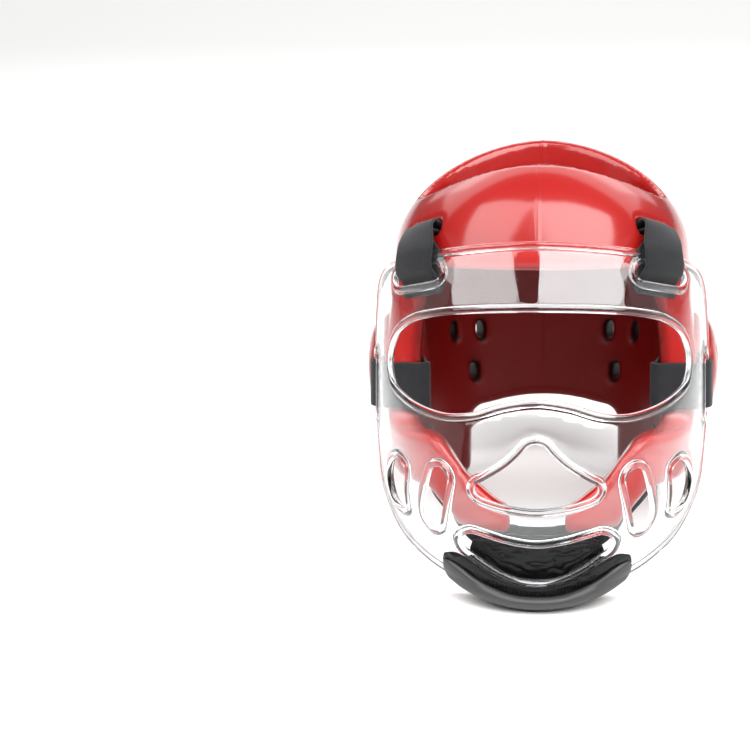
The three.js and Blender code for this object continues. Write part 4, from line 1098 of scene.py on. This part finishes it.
class HEADGEAR_OT_top_straps(Operator):
    """Elastic loops from the pockets in the forehead round the shield's top edge"""

    bl_idname = "headgear.top_straps"
    bl_label = "Top straps"

    STEPS = 150

    def execute(self, context):
        sizes, colours = context.scene.headgear_sizes, context.scene.headgear_colours
        thick = sizes.strap_thickness / MM
        material = woven_elastic(colours.elastic)
        for name, side in SIDES.items():
            mouth, out, across, up, slot_across = top_strap_frame(side)
            leaving, returning = (
                [mouth + out * off + up * rise for off, rise in rows]
                for rows in (TOP_STRAP_LEAVING, TOP_STRAP_RETURNING))
            z, off = np.array(TOP_STRAP_ROUND_BEAD, float).T
            bead = off_surface(shield_surface, places(side * TOP_SLOT["turn"], z), off)
            line = evenly(smooth_curve([*leaving, *bead, *returning], True), True, self.STEPS)
            slot = places(side * TOP_SLOT["turn"], TOP_SLOT["z"])
            slot_y = shield_surface(slot)[1]
            share = np.clip((line[:, 1] - slot_y) / (mouth[1] - thick - slot_y), 0, 1)
            share = eased(share)[:, None]
            across = unit(slot_across * (1 - share) + across * share)
            add_band(f"strap_top_{name}", line, across, TOP_STRAP["width"], thick, True, material,
                     TOP_STRAP["bow"], outward(shield_surface, slot))
        return {"FINISHED"}


class HEADGEAR_OT_side_straps(Operator):
    """Elastic loops round the shell's side walls and the shield's side bars"""

    bl_idname = "headgear.side_straps"
    bl_label = "Side straps"

    STEPS = 160

    def execute(self, context):
        sizes, colours = context.scene.headgear_sizes, context.scene.headgear_colours
        thick = sizes.strap_thickness / MM
        material = woven_elastic(colours.elastic)
        for name, side in SIDES.items():
            route = [(side * x, y, SIDE_SLOT["z"]) for x, y in SIDE_STRAP_PLAN]
            line = evenly(smooth_curve(route, True), True, self.STEPS)
            add_band(f"strap_side_{name}", line, upright(line), SIDE_STRAP_WIDTH, thick, True, material)
        return {"FINISHED"}


class HEADGEAR_OT_chin_and_rear_straps(Operator):
    """Elastic from cheek to cheek behind the jaw flaps, and the elastic over the rear window"""

    bl_idname = "headgear.chin_and_rear_straps"
    bl_label = "Chin and rear straps"

    CHIN_STEPS = 120
    REAR_STEPS = 80

    def execute(self, context):
        sizes, colours = context.scene.headgear_sizes, context.scene.headgear_colours
        thick = sizes.strap_thickness / MM
        material = woven_elastic(colours.elastic)
        half = np.array(CHIN_STRAP_ROUTE, float)
        route = np.vstack([half[:0:-1] * (-1, 1), half])
        chin = off_surface(hollow_surface, places(*route.T), np.full(len(route), CHIN_STRAP["off"]))
        line = evenly(smooth_curve(chin, False), False, self.CHIN_STEPS)
        add_band("chin_strap", line, upright(line), CHIN_STRAP["width"], thick, False, material)

        turns = 180 + np.linspace(-REAR_STRAP["half turn"], REAR_STRAP["half turn"], self.REAR_STEPS)
        off = np.full(len(turns), REAR_STRAP["off"])
        low, middle, high = (
            off_surface(shell_surface, places(turns, REAR_STRAP["middle z"] + up), off)
            for up in (-REAR_STRAP["half height"], 0, REAR_STRAP["half height"]))
        width = np.linalg.norm(high - low, axis=1).mean()
        bow = middle - (low + high) / 2
        add_band("rear_strap", middle, unit(high - low), width, thick, False, material,
                 np.linalg.norm(bow, axis=1).mean(), unit(np.mean(bow, axis=0)))
        return {"FINISHED"}


def lower_edge(turns):
    """Height of the shield's lower edge at turns in degrees."""
    return rows_at(np.array(OUTLINE[::-1], float), np.abs(turns))[..., 1]


class HEADGEAR_OT_chin_cushion(Operator):
    """Slack leather cushion behind the chin slot, swelled as cloth, with creases pressed into its ends"""

    bl_idname = "headgear.chin_cushion"
    bl_label = "Chin cushion"

    # The start shape: rings along it, points round each, degrees that it goes past the solid at each end, how
    # square its ends are, the least share that they close to, and how far it is set in before it swells.
    RINGS = 121
    AROUND = 56
    SPREAD = 2.2
    END_POWER = 8
    END_LEAST = 0.03
    INSET = 1.5
    # The cover as cloth: mesh size, how much it is enlarged, its steps and pressure, and the most it moves.
    VOXEL = 1.6
    ENLARGED = 5.0
    FRAMES = 24
    QUALITY = 8
    PRESSURE = 4.0
    MOST_MOVE = 2.1
    # The creases: the place that they run out from, the shield's radius there, folds for each radian, the
    # reach over which these double, how far they wander, how sharp they are, the reach over which they fade,
    # the depth at which they end, and how they come and go.
    PUCKER = {
        "aside": 46.0, "z": 45.0, "radius": 100.0, "folds": 12.0, "double": 60.0, "wander": 2.4,
        "sharpness": 1.5, "fade": (14.0, 66.0), "skin": 9.0, "level": 0.65, "patchy": 0.9,
    }
    # Noise for the wander and the patches: its size along the creases, its turns round the fan, and its seed.
    WANDER = {"size": 9.0, "turns": 4.0, "seed": 7.0}
    PATCHES = {"size": 14.0, "turns": 6.0, "seed": 31.0}

    def execute(self, context):
        sizes, colours = context.scene.headgear_sizes, context.scene.headgear_colours
        rings = self.start_shape()
        points, faces = self.swell(context, rings.reshape(-1, 3), ring_faces(rings, False), sizes)
        points, faces = self.finer(context, points, faces)
        points = self.pucker(points, sizes.pucker / MM)
        piece = add_piece("chin_cushion", points, faces, coated_leather(colours.leather))
        return {"FINISHED"}

    def start_shape(self):
        """Rings of the cushion before it swells, set in from its full size."""
        section = evenly(smooth_curve(CUSHION_SECTION, True), True, self.AROUND)
        share = np.sin(np.radians(np.linspace(-90, 90, self.RINGS)))
        turns = (CUSHION["half turn"] + self.SPREAD) * share
        round_end = np.sqrt(np.maximum(1 - share ** self.END_POWER, self.END_LEAST))
        thick = CUSHION["thick"] + (CUSHION["end thick"] - CUSHION["thick"]) * share ** 2
        thick = (thick - 2 * self.INSET) * round_end
        low = lower_edge(turns) - CUSHION["drop"] + self.INSET
        high = CUSHION["top z"] + CUSHION["end rise"] * share ** 2 - self.INSET
        z = ((low + high) / 2)[:, None] + (section[None, :, 1] - 0.5) * ((high - low) * round_end)[:, None]
        deep = section[None, :, 0] * thick[:, None]
        return off_surface(shield_surface, places(turns[:, None], z), CUSHION["front"] - self.INSET - deep)

    def swell(self, context, points, faces, sizes):
        """Points and faces of the cover after it has swelled, each point held to the most it may move."""
        scale = self.ENLARGED * MM
        cover = self.laid_out(context, points * scale, faces)
        even = cover.modifiers.new("even", "REMESH")
        even.mode = "VOXEL"
        even.voxel_size = self.VOXEL * scale
        cover.data = self.applied(context, cover)
        cover.modifiers.clear()
        start = self.coordinates(cover.data)
        faces = [tuple(face.vertices) for face in cover.data.polygons]
        cloth = cover.modifiers.new("cloth", "CLOTH")
        cloth.settings.quality = self.QUALITY
        cloth.settings.use_pressure = True
        cloth.settings.uniform_pressure_force = self.PRESSURE
        cloth.settings.shrink_min = -sizes.slack
        cloth.settings.effector_weights.gravity = 0.0
        cloth.collision_settings.use_collision = False
        for number in range(1, self.FRAMES + 1):
            context.scene.frame_set(number)
        end = self.coordinates(cover.evaluated_get(context.evaluated_depsgraph_get()).data)
        context.scene.frame_set(1)
        bpy.data.objects.remove(cover)
        move = (end - start) / scale
        length = np.maximum(np.linalg.norm(move, axis=1, keepdims=True), TINY)
        return start / scale + move * np.minimum(1, self.MOST_MOVE / length), faces

    def finer(self, context, points, faces):
        """The cover with each face split in four and smoothed."""
        cover = self.laid_out(context, points * MM, faces)
        smooth = cover.modifiers.new("smooth", "SUBSURF")
        smooth.levels = smooth.render_levels = 1
        fine = self.applied(context, cover)
        bpy.data.objects.remove(cover)
        return self.coordinates(fine) / MM, [tuple(face.vertices) for face in fine.polygons]

    def pucker(self, points, depth):
        """Presses creases into the cover that run out from both ends, where it is sewn down."""
        place = shield_place(points)
        aside = self.PUCKER["radius"] * place[:, 0]
        out = outward(shield_surface, place)
        behind = np.einsum("ij,ij->i", shield_surface(place) - points, out)
        pressed = np.zeros(len(points))
        for side in SIDES.values():
            along = self.PUCKER["aside"] - side * aside
            up = points[:, 2] - self.PUCKER["z"]
            reach = np.hypot(along, up)
            fan = np.arctan2(up, along)
            wander, patch = (
                np.array([noise.noise((r / pattern["size"], pattern["turns"] * f, pattern["seed"] * side))
                          for r, f in zip(reach, fan)])
                for pattern in (self.WANDER, self.PATCHES))
            phase = self.PUCKER["folds"] * fan * (1 + reach / self.PUCKER["double"])
            ridge = 1 - np.abs(np.sin(phase + self.PUCKER["wander"] * wander))
            near, far = self.PUCKER["fade"]
            strength = np.clip((far - reach) / (far - near), 0, 1)
            strength *= np.clip(self.PUCKER["level"] + self.PUCKER["patchy"] * patch, 0, 1)
            pressed += ridge ** self.PUCKER["sharpness"] * strength
        pressed *= np.clip(1 - (behind + CUSHION["front"]) / self.PUCKER["skin"], 0, 1)
        return points - out * (depth * pressed)[:, None]

    def laid_out(self, context, points, faces):
        """An object in the scene for modifiers to work on."""
        mesh = bpy.data.meshes.new("cover")
        mesh.from_pydata(points.tolist(), [], faces)
        cover = bpy.data.objects.new("cover", mesh)
        context.scene.collection.objects.link(cover)
        return cover

    def applied(self, context, cover):
        """A new mesh from an object with its modifiers applied."""
        return bpy.data.meshes.new_from_object(cover.evaluated_get(context.evaluated_depsgraph_get()))

    def coordinates(self, mesh):
        """Points of a mesh."""
        points = np.empty(len(mesh.vertices) * 3, np.float32)
        mesh.vertices.foreach_get("co", points)
        return points.reshape(-1, 3).astype(float)


class HEADGEAR_OT_chin_bumper(Operator):
    """Soft lip that cups the shield's lower edge, with a gathered leather band up its front"""

    bl_idname = "headgear.chin_bumper"
    bl_label = "Chin lip"

    STEPS = 361
    LIP_POINTS = 46
    BAND_POINTS = 22
    # Degrees over which the ends are drawn in, and the least share that they are drawn in to.
    ROUND_END = 3.0
    END_LEAST = 0.25
    # Gathers: their pitch, the half turn that they fill and the stretch that they fade over, in degrees, the
    # share of the band's height where they are deepest and how far they spread, and how unevenly they lie.
    GATHERS = {"pitch": 1.15, "half turn": 27.0, "fade": 6.0, "at": 0.3, "spread": 0.22}
    UNEVEN = {"phase": 1.6, "for each degree": 0.9}

    def execute(self, context):
        sizes, colours = context.scene.headgear_sizes, context.scene.headgear_colours
        share = np.linspace(-1, 1, self.STEPS)
        turns = BUMPER["half turn"] * share
        place = places(turns, lower_edge(turns))
        out = unit(outward(shield_surface, place) * (1, 1, 0))
        levels = self.levels(turns)
        groove = self.section(BUMPER_GROOVE, levels)
        lip = self.smooth(self.section(BUMPER_LIP, levels), self.LIP_POINTS)
        band = self.smooth(self.section(BUMPER_BAND, levels), self.BAND_POINTS)
        along = np.linspace(0, 1, self.BAND_POINTS)
        uneven = self.UNEVEN["phase"] * np.sin(turns * self.UNEVEN["for each degree"])
        fold = np.sin(turns * 2 * math.pi / self.GATHERS["pitch"] + uneven)
        fold *= np.clip((self.GATHERS["half turn"] - np.abs(turns)) / self.GATHERS["fade"], 0, 1)
        pleat = np.exp(-((along - self.GATHERS["at"]) / self.GATHERS["spread"]) ** 2)
        band[..., 0] += sizes.gather / MM * fold[:, None] * pleat[None, :]
        section = np.concatenate([groove, lip[:, 1:], band], 1)
        section = self.rounded_ends(section, turns, levels)
        base = shield_surface(np.stack(np.broadcast_arrays(
            place[:, :1], np.maximum(section[..., 1], place[:, 1:])), -1))
        rings = base * (1, 1, 0) + out[:, None] * section[..., :1]
        rings[..., 2] = np.maximum(
            section[..., 1], REST_CHIN["z"] + (rings[..., 1] - REST_CHIN["y"]) * math.tan(REST_TILT))
        rubber = satin_rubber(colours.lip)
        piece = add_piece("chin_bumper", rings.reshape(-1, 3), ring_faces(rings, False), rubber)
        piece.data.materials.append(coated_leather(colours.leather))
        around = section.shape[1]
        first = around - self.BAND_POINTS - 1
        number = np.arange(len(piece.data.polygons))
        banded = (number % around >= first) & (number < around * (self.STEPS - 1))
        piece.data.polygons.foreach_set("material_index", banded.astype(np.int32))
        return {"FINISHED"}

    def levels(self, turns):
        """Heights of the lip's levels at turns in degrees."""
        half = np.array(BUMPER_LEVELS, float)
        _, top, rim, bottom = rows_at(np.vstack([half[:0:-1] * (-1, 1, 1, 1), half]), turns).T
        return {"top": top, "rim": rim, "bottom": bottom, "floor": lower_edge(turns) - BUMPER["under edge"]}

    def section(self, table, levels):
        """Distances off the shield and heights of a table's points at each turn."""
        share = np.linspace(-1, 1, self.STEPS)
        shrink = 1 + (BUMPER["end share"] - 1) * share ** 4
        columns = []
        for off, start, end, way in table:
            past = max(abs(off) - BUMPER["groove wall"], 0) * shrink
            distance = math.copysign(1, off) * (min(abs(off), BUMPER["groove wall"]) + past)
            columns.append(np.stack([distance, levels[start] + (levels[end] - levels[start]) * way], -1))
        return np.stack(columns, 1)

    def smooth(self, section, count):
        """A smooth row of points through the points of each turn's section."""
        return np.stack([evenly(smooth_curve(row, False), False, count) for row in section])

    def rounded_ends(self, section, turns, levels):
        """The section drawn in towards its middle at the ends of the lip."""
        run = np.clip((BUMPER["half turn"] - np.abs(turns)) / self.ROUND_END, 0, 1)
        keep = np.sqrt(1 - (1 - run) ** 2) * (1 - self.END_LEAST) + self.END_LEAST
        middle = (levels["floor"] + levels["rim"]) / 2
        drawn = section.copy()
        drawn[..., 1] = middle[:, None] + (section[..., 1] - middle[:, None]) * keep[:, None]
        wall = BUMPER["groove wall"]
        past = np.maximum(np.abs(section[..., 0]) - wall, 0) * keep[:, None]
        drawn[..., 0] = np.sign(section[..., 0]) * (np.minimum(np.abs(section[..., 0]), wall) + past)
        return drawn


class HEADGEAR_OT_stage(Operator):
    """Pale floor, soft studio light and the camera"""

    bl_idname = "headgear.stage"
    bl_label = "Stage"

    # Sizes here are metres. Columns of the lights: name, azimuth from the front, elevation and roll in
    # degrees, width and height, and the setting that holds their brightness.
    LIGHTS = [
        ("softbox_left", -51, 51, 24, (1.05, 1.3), "softbox_left"),
        ("softbox_right", 41, 51, -29, (1.35, 1.3), "softbox_right"),
        ("card_left", -76, 12, 0, (1.0, 0.9), "side_card"),
        ("card_right", 76, 12, 0, (1.0, 0.9), "side_card"),
        ("card_back", 180, 27, 0, (1.7, 0.7), "back_card"),
    ]
    LIT_POINT = Vector((0, 0, 0.13))
    LIGHT_DISTANCE = 1.4
    PANEL_PLACE = Vector((0, 2.9, 2.1))
    PANEL_SIZE = (6.0, 3.2)
    FLOOR_HALF = 6.0
    CLIP = (0.05, 50.0)

    def execute(self, context):
        scene = context.scene
        studio, colours = scene.headgear_studio, scene.headgear_colours
        self.floor(scene, colours.floor)
        for name, azimuth, elevation, roll, size, setting in self.LIGHTS:
            a, e = math.radians(azimuth), math.radians(elevation)
            way = Vector((math.sin(a) * math.cos(e), -math.cos(a) * math.cos(e), math.sin(e)))
            place = self.LIT_POINT + way * self.LIGHT_DISTANCE
            self.area_light(scene, name, place, way, roll, size, getattr(studio, setting))
        up = Vector((0, 0, 1))
        self.area_light(scene, "back_panel", self.PANEL_PLACE, up, 0, self.PANEL_SIZE, studio.back_panel)
        world = bpy.data.worlds.new("white_room")
        world.use_nodes = True
        world.node_tree.nodes.clear()
        room = add_node(world.node_tree, "ShaderNodeBackground", inputs={
            "Color": (1, 1, 1, 1), "Strength": studio.room})
        add_node(world.node_tree, "ShaderNodeOutputWorld", inputs={"Surface": room.outputs[0]})
        scene.world = world
        scene.view_settings.view_transform = "Standard"
        self.camera(scene, studio.distance)
        return {"FINISHED"}

    def floor(self, scene, colour):
        """A wide sheet of matt studio paper, whose fibres give it a hardly seen mottle."""
        material, tree = start_material("matt_studio_paper")
        place = add_node(tree, "ShaderNodeTexCoord").outputs["Object"]
        fibre = add_node(tree, "ShaderNodeTexNoise", inputs={
            "Vector": place, "Scale": per_metre(4), "Detail": 3.0})
        tone = add_node(tree, "ShaderNodeMix", {"data_type": "RGBA"}, {
            0: fibre.outputs["Fac"], 6: shade(colour, 0.985), 7: shade(colour, 1)})
        finish_material(tree, add_node(tree, "ShaderNodeBsdfPrincipled", inputs={
            "Base Color": tone.outputs[2], "Roughness": 0.9, "Specular IOR Level": 0.1}))
        half = self.FLOOR_HALF
        corners = [(-half, -half, 0), (half, -half, 0), (half, half, 0), (-half, half, 0)]
        mesh = bpy.data.meshes.new("studio_floor")
        mesh.from_pydata(corners, [], [(0, 1, 2, 3)])
        mesh.materials.append(material)
        floor = bpy.data.objects.new("studio_floor", mesh)
        scene.collection.objects.link(floor)

    def area_light(self, scene, name, location, back, roll, size, brightness):
        """A large even light that faces away from the direction back, rolled about it by degrees."""
        light = bpy.data.lights.new(name, "AREA")
        light.shape = "RECTANGLE"
        light.size, light.size_y = size
        light.energy = math.pi * size[0] * size[1] * brightness
        lamp = bpy.data.objects.new(name, light)
        lamp.location = location
        rolled = back.to_track_quat("Z", "Y") @ Quaternion((0, 0, 1), math.radians(roll))
        lamp.rotation_euler = rolled.to_euler()
        lamp.visible_camera = False
        scene.collection.objects.link(lamp)

    def camera(self, scene, distance):
        """The view from the front, turned so that the headgear stands right of the middle."""
        target = Vector(stand(VIEW_TARGET))
        level, rise = math.cos(VIEW_ELEVATION), math.sin(VIEW_ELEVATION)
        back = np.array([math.sin(VIEW_YAW) * level, -math.cos(VIEW_YAW) * level, rise])
        way = Vector(stand(VIEW_TARGET + back) - stand(VIEW_TARGET)).normalized()
        up = Vector(stand(VIEW_TARGET + (0, 0, 1)) - stand(VIEW_TARGET)).normalized()
        right = up.cross(way).normalized()
        facing = Matrix((right, way.cross(right), way)).transposed().to_quaternion()
        offset = Vector((VIEW_PIXEL[0] - PICTURE / 2, PICTURE / 2 - VIEW_PIXEL[1], -VIEW_FOCAL_PIXELS))
        turned = offset.rotation_difference(Vector((0, 0, -1)))
        lens = bpy.data.cameras.new("camera")
        lens.sensor_width = SENSOR
        lens.lens = VIEW_FOCAL_PIXELS / PICTURE * SENSOR
        lens.clip_start, lens.clip_end = self.CLIP
        camera = bpy.data.objects.new("camera", lens)
        camera.rotation_mode = "QUATERNION"
        camera.rotation_quaternion = facing @ turned
        camera.location = target + way * distance
        scene.collection.objects.link(camera)
        scene.camera = camera


class HEADGEAR_PT_panel(Panel):
    """Pieces, sizes and colours of the headgear"""

    bl_idname = "HEADGEAR_PT_panel"
    bl_label = "Headgear"
    bl_space_type = "VIEW_3D"
    bl_region_type = "UI"
    bl_category = "Headgear"

    def draw(self, context):
        for operator in OPERATORS:
            self.layout.operator(operator.bl_idname)
        for group in (getattr(context.scene, name) for name in GROUPS):
            box = self.layout.box()
            for name in group.__annotations__:
                box.prop(group, name)


OPERATORS = (
    HEADGEAR_OT_stage,
    HEADGEAR_OT_foam_shell,
    HEADGEAR_OT_face_shield,
    HEADGEAR_OT_top_straps,
    HEADGEAR_OT_side_straps,
    HEADGEAR_OT_chin_and_rear_straps,
    HEADGEAR_OT_chin_cushion,
    HEADGEAR_OT_chin_bumper,
)
GROUPS = {
    "headgear_sizes": HeadgearSizes,
    "headgear_colours": HeadgearColours,
    "headgear_studio": HeadgearStudio,
}


def register():
    """Registers the classes and gives the scene their settings."""
    for cls in (*GROUPS.values(), *OPERATORS, HEADGEAR_PT_panel):
        bpy.utils.register_class(cls)
    for name, group in GROUPS.items():
        setattr(bpy.types.Scene, name, PointerProperty(type=group))


def unregister():
    """Takes the settings and the classes away again."""
    for name in GROUPS:
        delattr(bpy.types.Scene, name)
    for cls in reversed((*GROUPS.values(), *OPERATORS, HEADGEAR_PT_panel)):
        bpy.utils.unregister_class(cls)


def main():
    """Makes every piece and the stage."""
    register()
    for operator in OPERATORS:
        group, name = operator.bl_idname.split(".")
        getattr(getattr(bpy.ops, group), name)()


if __name__ == "__main__":
    main()
